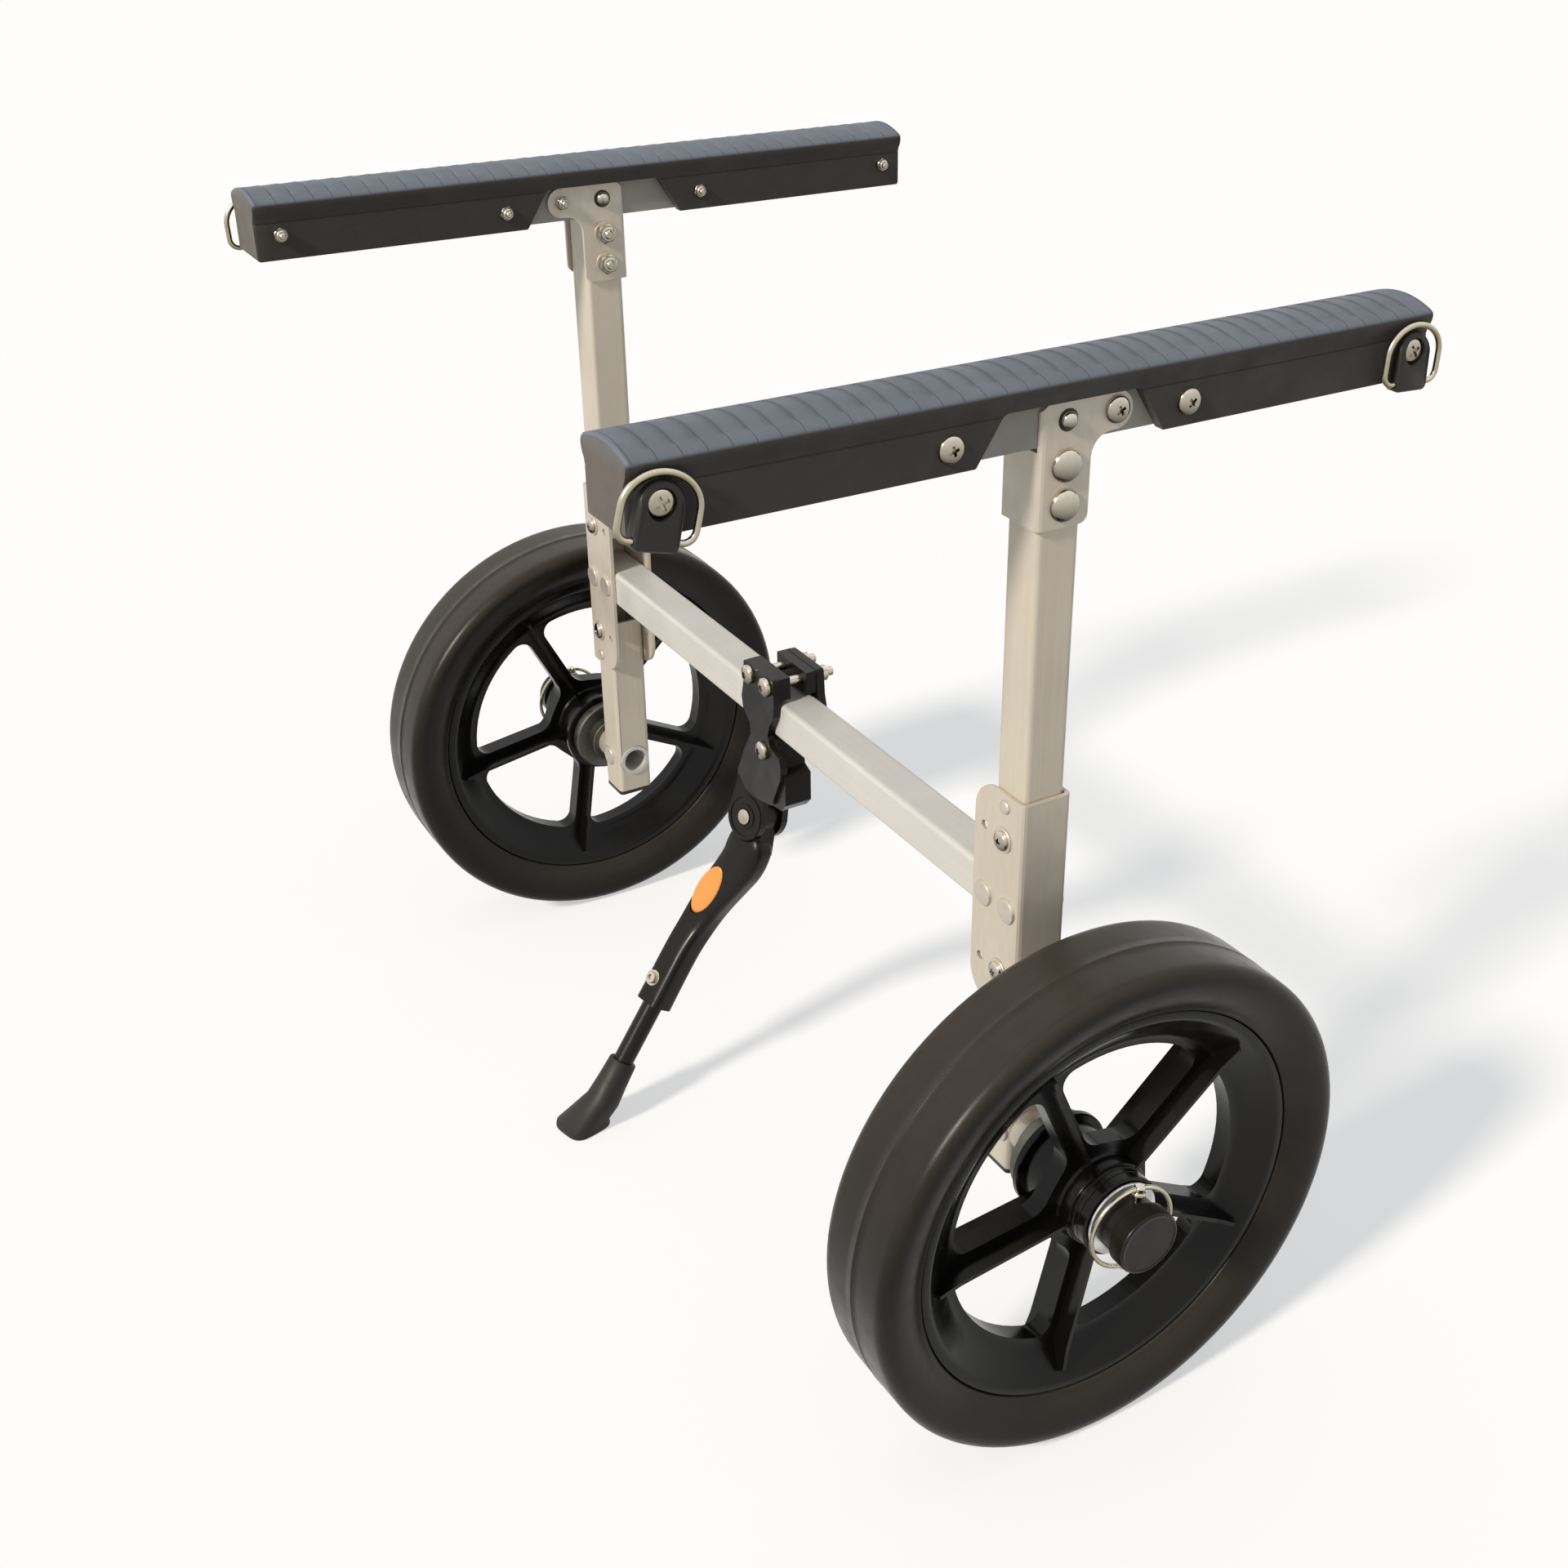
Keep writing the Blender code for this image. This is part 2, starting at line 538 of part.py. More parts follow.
# wheels, axles and what holds the wheels on
def window_shape(step):
    """Outline of the opening between the spoke along u and the next one, a step on, with round corners."""
    h, ro, ri = spoke_half_width, window_outer_round, window_inner_round
    outer_side, inner_side = h + ro, h + ri
    outer_along = sqrt((window_outer_radius - ro) ** 2 - outer_side ** 2)
    inner_along = sqrt((window_inner_radius + ri) ** 2 - inner_side ** 2)
    outer_turn, inner_turn = atan2(outer_side, outer_along), atan2(inner_side, inner_along)
    side = []
    for j in range(5):
        t = inner_turn + pi + (3 * pi / 2 - inner_turn - pi) * j / 4
        side.append((inner_along + ri * cos(t), inner_side + ri * sin(t)))
    for j in range(5):
        t = -pi / 2 + (outer_turn + pi / 2) * j / 4
        side.append((outer_along + ro * cos(t), outer_side + ro * sin(t)))
    arc = [outer_turn + (step - outer_turn - outer_turn) * j / 6 for j in range(1, 6)]
    far_side = [(u * cos(step) + v * sin(step), u * sin(step) - v * cos(step)) for u, v in reversed(side)]
    return side + [(window_outer_radius * cos(t), window_outer_radius * sin(t)) for t in arc] + far_side


for side, tag in both:
    turn = wheel_turn_near if side < 0 else wheel_turn_far

    def around(u, v, w, side=side, turn=turn):
        return Vector((u * cos(turn) - v * sin(turn), side * (w - wheel_centre), u * sin(turn) + v * cos(turn)))

    def fixed(u, v, w, side=side):
        return Vector((u, side * w, wheel_radius + v))
    c, t, s, R = wheel_centre, tyre_half_width, tyre_shoulder, wheel_radius
    b, k = tyre_bead_half_width, rim_web_half
    bore = rim_radius + fit_gap
    mid = bore + tyre_bulge_share * (R - s - bore)
    arc = [(R - s + s * sin(pi * j / 6), c - t + s - s * cos(pi * j / 6)) for j in range(4)]
    inner_side = [(bore, c - b), (mid, c - t + (t - b) * tyre_bulge_share)] + arc
    tyre = lathe("tyre_" + tag, inner_side + [(r, 2 * c - w) for r, w in reversed(inner_side)], around, tyre_rubber, 60, radians(30))
    lip, well = rim_lip_radius, rim_well_radius
    out_face = [(rim_radius, c + b), (lip, c + b), (well, c + k), (hub_radius, c + k), (hub_radius, hub_outboard - hub_nose_length), (hub_nose_radius, hub_outboard - hub_nose_length), (hub_nose_radius, hub_outboard),
                (axle_radius + axle_play, hub_outboard), (axle_radius + axle_play, hub_inboard), (hub_collar_radius, hub_inboard), (hub_collar_radius, hub_inboard + hub_collar_thick),
                (hub_radius, hub_inboard + hub_collar_thick), (hub_radius, c - k), (well, c - k), (lip, c - b), (rim_radius, c - b)]
    rim = lathe("rim_" + tag, out_face, around, black_plastic, 48, radians(30))
    step = 2 * pi / spoke_count
    for q in range(spoke_count):
        shape = [(u * cos(q * step) - v * sin(q * step), u * sin(q * step) + v * cos(q * step)) for u, v in window_shape(step)]
        cut(rim, prism("window_%s_%d" % (tag, q), shape, around, c - k - k, c + k + k))
    for q in range(spoke_count):
        for face in (-1, 1):
            def spoke(u, v, w, a0=q * step, face=face, c=c, around=around):
                return around(u * cos(a0) - w * sin(a0), u * sin(a0) + w * cos(a0), c + face * v)
            cut(rim, prism("rib_%s_%d_%d" % (tag, q, face), rib_outline, spoke, -rib_half_thick, rib_half_thick), "UNION")
    bake(rim)
    for ob in (tyre, rim):
        ob.location = (0, side * c, wheel_radius)

    inboard = post_offset - half - axle_proud
    axle = lathe("axle_" + tag, [(axle_radius, inboard), (axle_radius, axle_outboard), (axle_bore_radius, axle_outboard), (axle_bore_radius, inboard)], fixed, alloy, 32)
    # the axle passes the bracket below its web, so only the lower leg is drilled
    lean = pin_lean

    def pinned(u, v, w, side=side, lean=lean):
        return Vector((u * cos(lean) - v * sin(lean), side * w, wheel_radius + u * sin(lean) + v * cos(lean)))
    cut(axle, prism("axle_pin_hole_" + tag, [(pin_plane + p, q) for p, q in disc(pin_radius + fit_gap, 16)], lambda u, v, w: pinned(v, w, u), -axle_radius - axle_radius, axle_radius + axle_radius))
    bake(axle)
    snug = axle_radius + fit_gap
    lathe("axle_bush_" + tag, [(snug, bush_start), (bush_radius, bush_start), (bush_radius, bush_step), (bush_big_radius, bush_step), (bush_big_radius, hub_inboard - axle_play), (snug, hub_inboard - axle_play)],
          fixed, black_plastic, 32)
    collar = post_offset + half + fit_gap
    lathe("axle_collar_" + tag, [(snug, collar), (axle_collar_radius, collar), (axle_collar_radius, bush_start - fit_gap), (snug, bush_start - fit_gap)], fixed, steel, 32)
    w0 = hub_outboard + axle_play
    lathe("axle_washer_" + tag, [(snug, w0), (washer_radius, w0), (washer_radius, w0 + washer_thick), (snug, w0 + washer_thick)], fixed, zinc, 32)
    pin = rod("axle_pin_" + tag, [pinned(0, -pin_reach, pin_plane), pinned(0, pin_reach, pin_plane)], pin_radius, zinc, 12, False, Vector((0, 1, 0)))
    hoop = [pinned(hoop_radius * cos(2 * pi * j / 28) * cos(hoop_tilt), hoop_radius * sin(2 * pi * j / 28), pin_plane + hoop_radius * cos(2 * pi * j / 28) * sin(hoop_tilt)) for j in range(28)]
    bake(cut(pin, rod("axle_hoop_" + tag, hoop, pin_wire, zinc, 8, True, Vector((0, 1, 0))), "UNION"))
    lathe("axle_cap_" + tag, [(0, axle_outboard + fit_gap), (snug, axle_outboard + fit_gap), (snug, end_cap_start), (end_cap_radius, end_cap_start), (end_cap_radius, end_cap_end - end_cap_edge),
                              (end_cap_radius - end_cap_edge, end_cap_end), (0, end_cap_end)], fixed, black_plastic, 32)


# folding stand: two jaws on the crossbar, an arm with a fork, and the leg
def facing(u, v, w):
    return Vector((w, u, crossbar_height + v))


front = -grip - clamp_plate
shape_count = len(jaw_outline)
jaw = prism("stand_arm", soften(jaw_outline, [jaw_corner] * shape_count, 2), facing, front, -grip, stand_coat)
cut(jaw, prism("arm_body", arm_outline, facing, -grip - clamp_plate / 2, arm_back), "UNION")
wide = clamp_half_width
cut(jaw, prism("jaw_block", [(clamp_middle - wide, clamp_block_bottom), (clamp_middle + wide, clamp_block_bottom), (clamp_middle + wide - fit_gap, clamp_top - fit_gap), (clamp_middle - wide + fit_gap, clamp_top - fit_gap)],
               facing, front + clamp_plate / 2, front + clamp_block_depth), "UNION")

tilt, swing = pivot_tilt, pivot_turn
out_dir = Vector((-cos(tilt) * cos(swing), -cos(tilt) * sin(swing), sin(tilt)))
across = Vector((0, 0, 1)).cross(out_dir).normalized()
rise = out_dir.cross(across)
pivot = Vector((pivot_at[0], pivot_at[1], crossbar_height + pivot_at[2]))


def swung(u, v, w):
    return pivot + u * across + v * rise + w * out_dir


def leg_at(across_by, out_by, down_by):
    return pivot + across_by * across - down_by * rise + out_by * out_dir


neck = fork_radius * fork_neck_share
cheek = [(fork_radius * cos(pi + pi * k / 16), fork_radius * sin(pi + pi * k / 16)) for k in range(17)] + [(neck, fork_rise), (-neck, fork_rise)]
for name, low, high in (("front_cheek", fork_inner_half, fork_inner_half + fork_cheek), ("rear_cheek", -fork_inner_half - fork_cheek, -fork_inner_half)):
    cut(jaw, prism(name, cheek, swung, low, high), "UNION")

bolts = (("upper_left", clamp_middle + clamp_bolt_spread, clamp_bolt_height), ("upper_right", clamp_middle - clamp_bolt_spread, clamp_bolt_height), ("lower", low_bolt_along, low_bolt_height))
back = grip + clamp_plate
for tag, along, height in bolts:
    cut(jaw, prism("arm_bore_" + tag, [(along + p, height + q) for p, q in disc(clamp_bolt_radius + fit_gap, 20)], facing, front - plate, arm_back + half))
cut(jaw, prism("arm_pin_bore", disc(pivot_pin_radius + fit_gap, 24), swung, -fork_radius - fork_radius, fork_radius + fork_radius))
# nothing of the arm inside the slot the leg turns in
cut(jaw, prism("arm_slot", disc(tongue_radius + shoulder_clear, 32), swung, -fork_inner_half, fork_inner_half))
bake(jaw)

jaw = prism("stand_rear_jaw", soften(rear_outline, [jaw_corner] * len(rear_outline), 2), facing, grip, back, stand_coat)
cut(jaw, prism("rear_block", [(clamp_middle - wide, clamp_block_bottom), (clamp_middle + wide, clamp_block_bottom), (clamp_middle + wide - fit_gap, clamp_top - fit_gap), (clamp_middle - wide + fit_gap, clamp_top - fit_gap)],
               facing, back - clamp_block_depth, back - clamp_plate / 2), "UNION")
for tag, along, height in bolts:
    cut(jaw, prism("rear_bore_" + tag, [(along + p, height + q) for p, q in disc(clamp_bolt_radius + fit_gap, 20)], facing, -plate, back + plate))
bake(jaw)

for tag, along, height in bolts:
    def bolted(u, v, w, along=along, height=height):
        return Vector((w, along + u, crossbar_height + height + v))
    r, h, e = clamp_head_radius, clamp_head_thick, front - fit_gap
    nut = back + fit_gap
    dome = [(r * sin(pi * k / 8), e - h * (dome_edge_share + (1 - dome_edge_share) * cos(pi * k / 8))) for k in range(5)]
    lathe("stand_bolt_" + tag, dome + [(r, e), (clamp_bolt_radius, e), (clamp_bolt_radius, nut), (clamp_nut_radius, nut), (clamp_nut_radius, nut + clamp_nut_thick * nut_side_share),
                                       (clamp_nut_radius * nut_edge_share, nut + clamp_nut_thick), (clamp_bolt_radius, nut + clamp_nut_thick), (clamp_bolt_radius, clamp_bolt_end), (0, clamp_bolt_end)], bolted, steel, 16)

face_out = fork_inner_half + fork_cheek + fit_gap
pr, hr, ht = pivot_pin_radius, pivot_head_radius, pivot_head_thick
lathe("stand_pin", [(0, -face_out - ht), (hr, -face_out - ht), (hr, -face_out), (pr, -face_out), (pr, face_out), (hr, face_out), (hr, face_out + ht / 2), (hr * pivot_rivet_share, face_out + ht), (0, face_out + ht)],
      swung, steel, 20)


def loft(name, loops, mat, smooth=radians(35)):
    bm = bmesh.new()
    rows = [[bm.verts.new(p) for p in loop] for loop in loops]
    n = len(rows[0])
    for a, b in zip(rows, rows[1:]):
        for i in range(n):
            j = (i + 1) % n
            bm.faces.new((a[i], a[j], b[j], b[i]))
    bm.faces.new(rows[0])
    bm.faces.new(rows[-1])
    return finish(name, bm, mat, smooth)


def super_loop(centre, side_dir, deep_dir, hw, hd, power, steps=28):
    out = []
    for k in range(steps):
        a = 2 * pi * k / steps
        cu, cv = cos(a), sin(a)
        out.append(centre + side_dir * hw * (abs(cu) ** power) * (1 if cu >= 0 else -1) + deep_dir * hd * (abs(cv) ** power) * (1 if cv >= 0 else -1))
    return out


reach = pivot.z / drawn_pivot_height
leg_rows = leg_sections[:leg_head_rows] + [(a * reach, o * reach, d * reach, hw, hd) for a, o, d, hw, hd in leg_sections[leg_head_rows:]]
mids = [leg_at(a, o, d) for a, o, d, hw, hd in leg_rows]
loops = []
for i, (a, o, d, hw, hd) in enumerate(leg_rows):
    run = (mids[min(i + 1, len(mids) - 1)] - mids[max(i - 1, 0)]).normalized()
    side_dir = run.cross(out_dir).normalized()
    deep_dir = side_dir.cross(run).normalized()
    loops.append([p - pivot for p in super_loop(mids[i], side_dir, deep_dir, hw, hd, leg_square)])
leg = loft("stand_leg", loops, stand_coat)


def from_pivot(u, v, w):
    return swung(u, v, w) - pivot


cut(leg, prism("leg_tongue", disc(tongue_radius, 40), from_pivot, -tongue_half, tongue_half), "UNION")
cut(leg, prism("tongue_link", [(-tongue_radius, -leg_sections[2][2]), (tongue_radius, -leg_sections[2][2]), (tongue_radius * tongue_root_share, 0), (-tongue_radius * tongue_root_share, 0)], from_pivot, -tongue_half + fit_gap / 3, tongue_half - fit_gap / 3), "UNION")
for tag, low, high in (("front", tongue_half, fork_radius + fork_radius), ("rear", -fork_radius - fork_radius, -tongue_half)):
    cut(leg, prism("leg_relief_" + tag, disc(fork_radius + shoulder_clear, 40), from_pivot, low, high))
cut(leg, prism("leg_pin_bore", disc(pivot_pin_radius + fit_gap, 24), from_pivot, -fork_radius, fork_radius))
knee = leg_at(*leg_rows[-2][:3])
run = (leg_at(*[reach * c for c in foot_point]) - knee).normalized()
foot_on_ground = knee - run * (knee.z / run.z)
rod_side = run.cross(out_dir).normalized()
rod_deep = rod_side.cross(run)
to_knee = (foot_on_ground - knee).length


def down_rod(u, v, w):
    """A point beside the rod, w up along it from the ground."""
    return foot_on_ground - run * w + rod_side * u + rod_deep * v


cut(leg, prism("leg_rod_bore", disc(rod_radius + rod_play, 28), lambda u, v, w: down_rod(u, v, w) - pivot, foot_floor, to_knee + bore_past_knee))
# oval pocket for the coloured insert
ia, idn = [reach * c for c in insert_at]
il = insert_lean
leg_face = insert_face


def oval(grow):
    hl, hw = insert_half_long + grow, insert_half_wide + grow
    pts = []
    for k in range(32):
        a = 2 * pi * k / 32
        p, q = hw * cos(a), hl * sin(a)
        pts.append((ia + p * cos(il) + q * sin(il), -idn - p * sin(il) + q * cos(il)))
    return pts


cut(leg, prism("insert_pocket", oval(fit_gap), from_pivot, leg_face - insert_depth, leg_face + insert_depth))
bake(leg)
leg.location = pivot
insert = prism("stand_insert", oval(0.0), from_pivot, leg_face - insert_depth + fit_gap, leg_face + fit_gap, orange_plastic)
insert.location = pivot

below = [(-tube_size, -tube_size), (tube_size, -tube_size), (tube_size, tube_size), (-tube_size, tube_size)]
stem = prism("stand_rod", disc(rod_radius, 28), lambda u, v, w: down_rod(u, v, w) - foot_on_ground, 0, to_knee + rod_past_knee, stand_coat, radians(30))
bake(cut(stem, prism("rod_end_cut", below, lambda u, v, w: Vector((u, v, w)), -half, foot_floor)))
stem.location = foot_on_ground

# rubber foot, round at the top and squared at the flat sole
sole = foot_on_ground + Vector((sole_offset[0], sole_offset[1], 0))
flat = Vector((rod_side.x, rod_side.y, 0)).normalized()
flat_deep = Vector((0, 0, 1)).cross(flat)
if rod_deep.dot(flat_deep) < 0:
    flat_deep = -flat_deep
tr, mr, edge = foot_top_radius, foot_mid_radius, sole_edge / 2
loops = [super_loop(down_rod(0, 0, foot_length + foot_edge), rod_side, rod_deep, tr - foot_edge, tr - foot_edge, 1), super_loop(down_rod(0, 0, foot_length), rod_side, rod_deep, tr, tr, 1),
         super_loop(down_rod(0, 0, foot_mid_length), rod_side, rod_deep, mr, mr, foot_mid_square),
         super_loop(sole + Vector((0, 0, sole_edge)), flat, flat_deep, sole_half[0], sole_half[1], sole_square),
         super_loop(sole, flat, flat_deep, sole_half[0] - edge, sole_half[1] - edge, sole_square)]
foot = loft("stand_foot", [[p - foot_on_ground for p in loop] for loop in loops], black_plastic)
bore = prism("foot_bore", disc(rod_radius + fit_gap, 28), lambda u, v, w: down_rod(u, v, w) - foot_on_ground, 0, foot_length + foot_bore_past)
bake(cut(bore, prism("bore_floor", below, lambda u, v, w: Vector((u, v, w)), -half, foot_floor - fit_gap)))
bake(cut(foot, bore))
foot.location = foot_on_ground
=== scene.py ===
# Looks of the kayak trailer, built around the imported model.
# Metres, in the model's frame: X along the bunks, Y along the axles, Z up.
import bmesh
import bpy
from math import atan2, copysign, cos, pi, radians, sin, sqrt, tan
from mathutils import Matrix, Vector


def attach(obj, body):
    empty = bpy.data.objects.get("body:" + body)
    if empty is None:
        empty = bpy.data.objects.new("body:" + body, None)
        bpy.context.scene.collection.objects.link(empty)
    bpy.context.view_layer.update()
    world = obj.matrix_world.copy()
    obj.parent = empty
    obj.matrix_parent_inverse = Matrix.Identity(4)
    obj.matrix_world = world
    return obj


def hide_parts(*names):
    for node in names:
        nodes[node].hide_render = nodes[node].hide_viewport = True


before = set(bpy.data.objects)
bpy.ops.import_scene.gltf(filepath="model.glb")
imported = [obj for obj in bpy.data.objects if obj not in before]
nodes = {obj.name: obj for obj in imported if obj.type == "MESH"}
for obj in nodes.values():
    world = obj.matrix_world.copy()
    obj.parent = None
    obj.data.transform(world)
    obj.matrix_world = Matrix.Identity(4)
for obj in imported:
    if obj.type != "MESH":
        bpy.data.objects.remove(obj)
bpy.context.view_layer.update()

scene = bpy.context.scene

# camera, at the place the photograph was taken from
CAMERA_AT = (-0.5355, -0.9678, 0.8676)
CAMERA_ROWS = (
    (0.838203, 0.248081, -0.485665),
    (-0.545052, 0.410900, -0.730808),
    (0.018260, 0.877278, 0.479635),
)
SENSOR_WIDTH = 36.0
LENS = 45.0625
SHIFT = (-0.09354, -0.01291)
NEAREST, FARTHEST = 0.02, 60.0

cam_data = bpy.data.cameras.new("camera")
cam = bpy.data.objects.new("camera", cam_data)
scene.collection.objects.link(cam)
cam.matrix_world = Matrix.Translation(Vector(CAMERA_AT)) @ Matrix(CAMERA_ROWS).to_4x4()
cam_data.sensor_width = SENSOR_WIDTH
cam_data.lens = LENS
cam_data.shift_x, cam_data.shift_y = SHIFT
cam_data.clip_start, cam_data.clip_end = NEAREST, FARTHEST
scene.camera = cam

# sizes shared with the solids
TUBE = 0.0254
HALF = TUBE / 2
GAP = 0.0003                   # between a piece and what grips it
PLATE = 0.0025
GRIP = HALF + GAP              # inner face of a bracket, from the tube's middle
SKIN = GRIP + PLATE            # outer face of a bracket
POST_Y = 0.2560                # middle of a post and of its bunk
BAR_Z = 0.3004                 # middle of the crossbar
COVER_HALF = 0.0197            # side face of a bunk cover, from its middle
WHEEL_R = 0.1525
WHEEL_Y = 0.3275
SIDES = ((-1, "near"), (1, "far"))

# grooves across the bunk pads
PAD_HALF = 0.2270
PLAIN_ENDS = 0.010             # at least this much has no grooves, both ends together
GROOVE_PITCH = 0.0115
GROOVES = int((2 * PAD_HALF - PLAIN_ENDS) / GROOVE_PITCH)
GROOVE_START = -GROOVES * GROOVE_PITCH / 2
# painted sky reflection: the pad's top faces start to take it at the first of these heights, and take it fully from the
# second
TOP_FROM, TOP_FULL = 0.5870, 0.5900           # heights where a pad takes on the tone of its top


# materials
def material(name, colour, rough, metal=0.0, specular=0.5):
    m = bpy.data.materials.new(name)
    m.use_nodes = True
    b = shader(m)
    b["Base Color"].default_value = (*colour, 1)
    b["Roughness"].default_value = rough
    b["Metallic"].default_value = metal
    b["Specular IOR Level"].default_value = specular
    return m


def shader(m):
    return m.node_tree.nodes["Principled BSDF"].inputs


def node(m, kind, **values):
    n = m.node_tree.nodes.new(kind)
    for key, value in values.items():
        if hasattr(n, key):
            setattr(n, key, value)
        else:
            n.inputs[key].default_value = value
    return n


def link(m, a, b):
    m.node_tree.links.new(a, b)


def shade(colour, share):
    return tuple(c * share for c in colour)


def space(m, scale=(1, 1, 1)):
    """Object coordinates, stretched."""
    t = node(m, "ShaderNodeTexCoord")
    s = node(m, "ShaderNodeMapping", Scale=scale)
    link(m, t.outputs["Object"], s.inputs["Vector"])
    return s.outputs["Vector"]


def axes(m, vector):
    """The X, Y and Z of a vector."""
    s = node(m, "ShaderNodeSeparateXYZ")
    link(m, vector, s.inputs[0])
    return s.outputs


def normal(m):
    return axes(m, node(m, "ShaderNodeNewGeometry").outputs["Normal"])


def noise(m, scale, detail=3.0, stretch=(1, 1, 1), rough=0.5):
    n = node(m, "ShaderNodeTexNoise", Scale=scale, Detail=detail, Roughness=rough)
    link(m, space(m, stretch), n.inputs["Vector"])
    return n.outputs["Fac"]


def ramp(m, value, low, high, a=0.0, b=1.0):
    """a up to low, b from high, and a straight line between."""
    r = node(m, "ShaderNodeMapRange")
    for key, v in zip(("From Min", "From Max", "To Min", "To Max"), (low, high, a, b)):
        r.inputs[key].default_value = v
    link(m, value, r.inputs["Value"])
    return r.outputs["Result"]


def math(m, operation, a, b=0.0):
    n = node(m, "ShaderNodeMath", operation=operation)
    for i, v in enumerate((a, b)):
        if isinstance(v, float):
            n.inputs[i].default_value = v
        else:
            link(m, v, n.inputs[i])
    return n.outputs[0]


def times(m, *factors):
    total = factors[0]
    for f in factors[1:]:
        total = math(m, "MULTIPLY", total, f)
    return total


def mix_colour(m, factor, a, b):
    n = node(m, "ShaderNodeMix", data_type="RGBA")
    for key, v in (("A", a), ("B", b)):
        slot = [s for s in n.inputs if s.name == key and s.type == "RGBA"][0]
        if isinstance(v, tuple):
            slot.default_value = (*v, 1)
        else:
            link(m, v, slot)
    link(m, factor, n.inputs["Factor"])
    return [s for s in n.outputs if s.type == "RGBA"][0]


def specks(m):
    """1 on sparse small grains of dirt."""
    return ramp(m, noise(m, 420.0, 3.0, rough=0.6), 0.72, 0.78)


def surface(m, base, gloss_scale, smooth, dull, height, depth):
    """Links the colour, an uneven gloss between two roughnesses, and a fine relief."""
    link(m, base, shader(m)["Base Color"])
    link(m, ramp(m, noise(m, gloss_scale, 4.0), 0.3, 0.7, smooth, dull), shader(m)["Roughness"])
    n = node(m, "ShaderNodeBump", Strength=1.0, Distance=depth)
    link(m, height, n.inputs["Height"])
    link(m, n.outputs["Normal"], shader(m)["Normal"])
    return m


def bare_metal(name, colour, dark, rough, metal, grain, depth=0.00004, scuffs=0.5, painted_shade_below=None):
    """Metal with drawn grain along one axis, soft stains and fine scuffs; the last argument is a painted shade, the
    darker tone given to faces that look down.
    """
    m = material(name, colour, rough, metal, 0.4)
    stain = ramp(m, noise(m, 22.0, 4.0), 0.35, 0.75)
    fine = noise(m, 1.0, 3.0, grain)
    tone = math(m, "ADD", times(m, stain, 0.55), times(m, ramp(m, fine, 0.3, 0.7), 0.45))
    base = mix_colour(m, tone, colour, dark)
    if scuffs:
        patch = ramp(m, noise(m, 30.0, 3.0), 0.45, 0.65)
        spot = ramp(m, noise(m, 260.0, 5.0, rough=0.7), 0.66, 0.72)
        base = mix_colour(m, times(m, spot, patch, scuffs), base, shade(colour, 0.40))
        scratch = ramp(m, noise(m, 1.0, 2.0, shade(grain, 0.35), 0.6), 0.68, 0.72)
        base = mix_colour(m, times(m, scratch, patch, scuffs * 0.6), base, shade(colour, 0.62))
    if painted_shade_below:
        # painted shade: faces that look down take the given dark tone, and faces that look up keep the metal's own
        base = mix_colour(m, ramp(m, normal(m)["Z"], -0.55, 0.75), painted_shade_below, base)
    height = math(m, "ADD", fine, times(m, noise(m, 900.0, 2.0), 0.5))
    return surface(m, base, 60.0, rough - 0.07, rough + 0.09, height, depth)


def moulded(name, colour, dusty, rough, grain, depth, dust=0.0, specular=0.5, smudge=0.0, cloudy=0.85):
    """Plastic, rubber or paint with fine grain, a cloudy tone, smudges, and dust on the faces that look up."""
    m = material(name, colour, rough, 0.0, specular)
    cloud = ramp(m, noise(m, 35.0, 5.0), 0.35, 0.7)
    base = mix_colour(m, cloud, colour, shade(colour, cloudy))
    if smudge:
        wipe = ramp(m, noise(m, 1.0, 5.0, (14, 14, 30), 0.65), 0.50, 0.78)
        base = mix_colour(m, times(m, wipe, smudge), base, dusty)
    if dust:
        patchy = ramp(m, noise(m, 90.0, 6.0, rough=0.6), 0.25, 0.75, 0.75, 1.0)
        base = mix_colour(m, times(m, ramp(m, normal(m)["Z"], 0.1, 1.0), patchy, dust), base, dusty)
    base = mix_colour(m, times(m, specks(m), 0.30), base, dusty)
    return surface(m, base, 70.0, rough - 0.05, rough + 0.07, noise(m, grain, 3.0), depth)


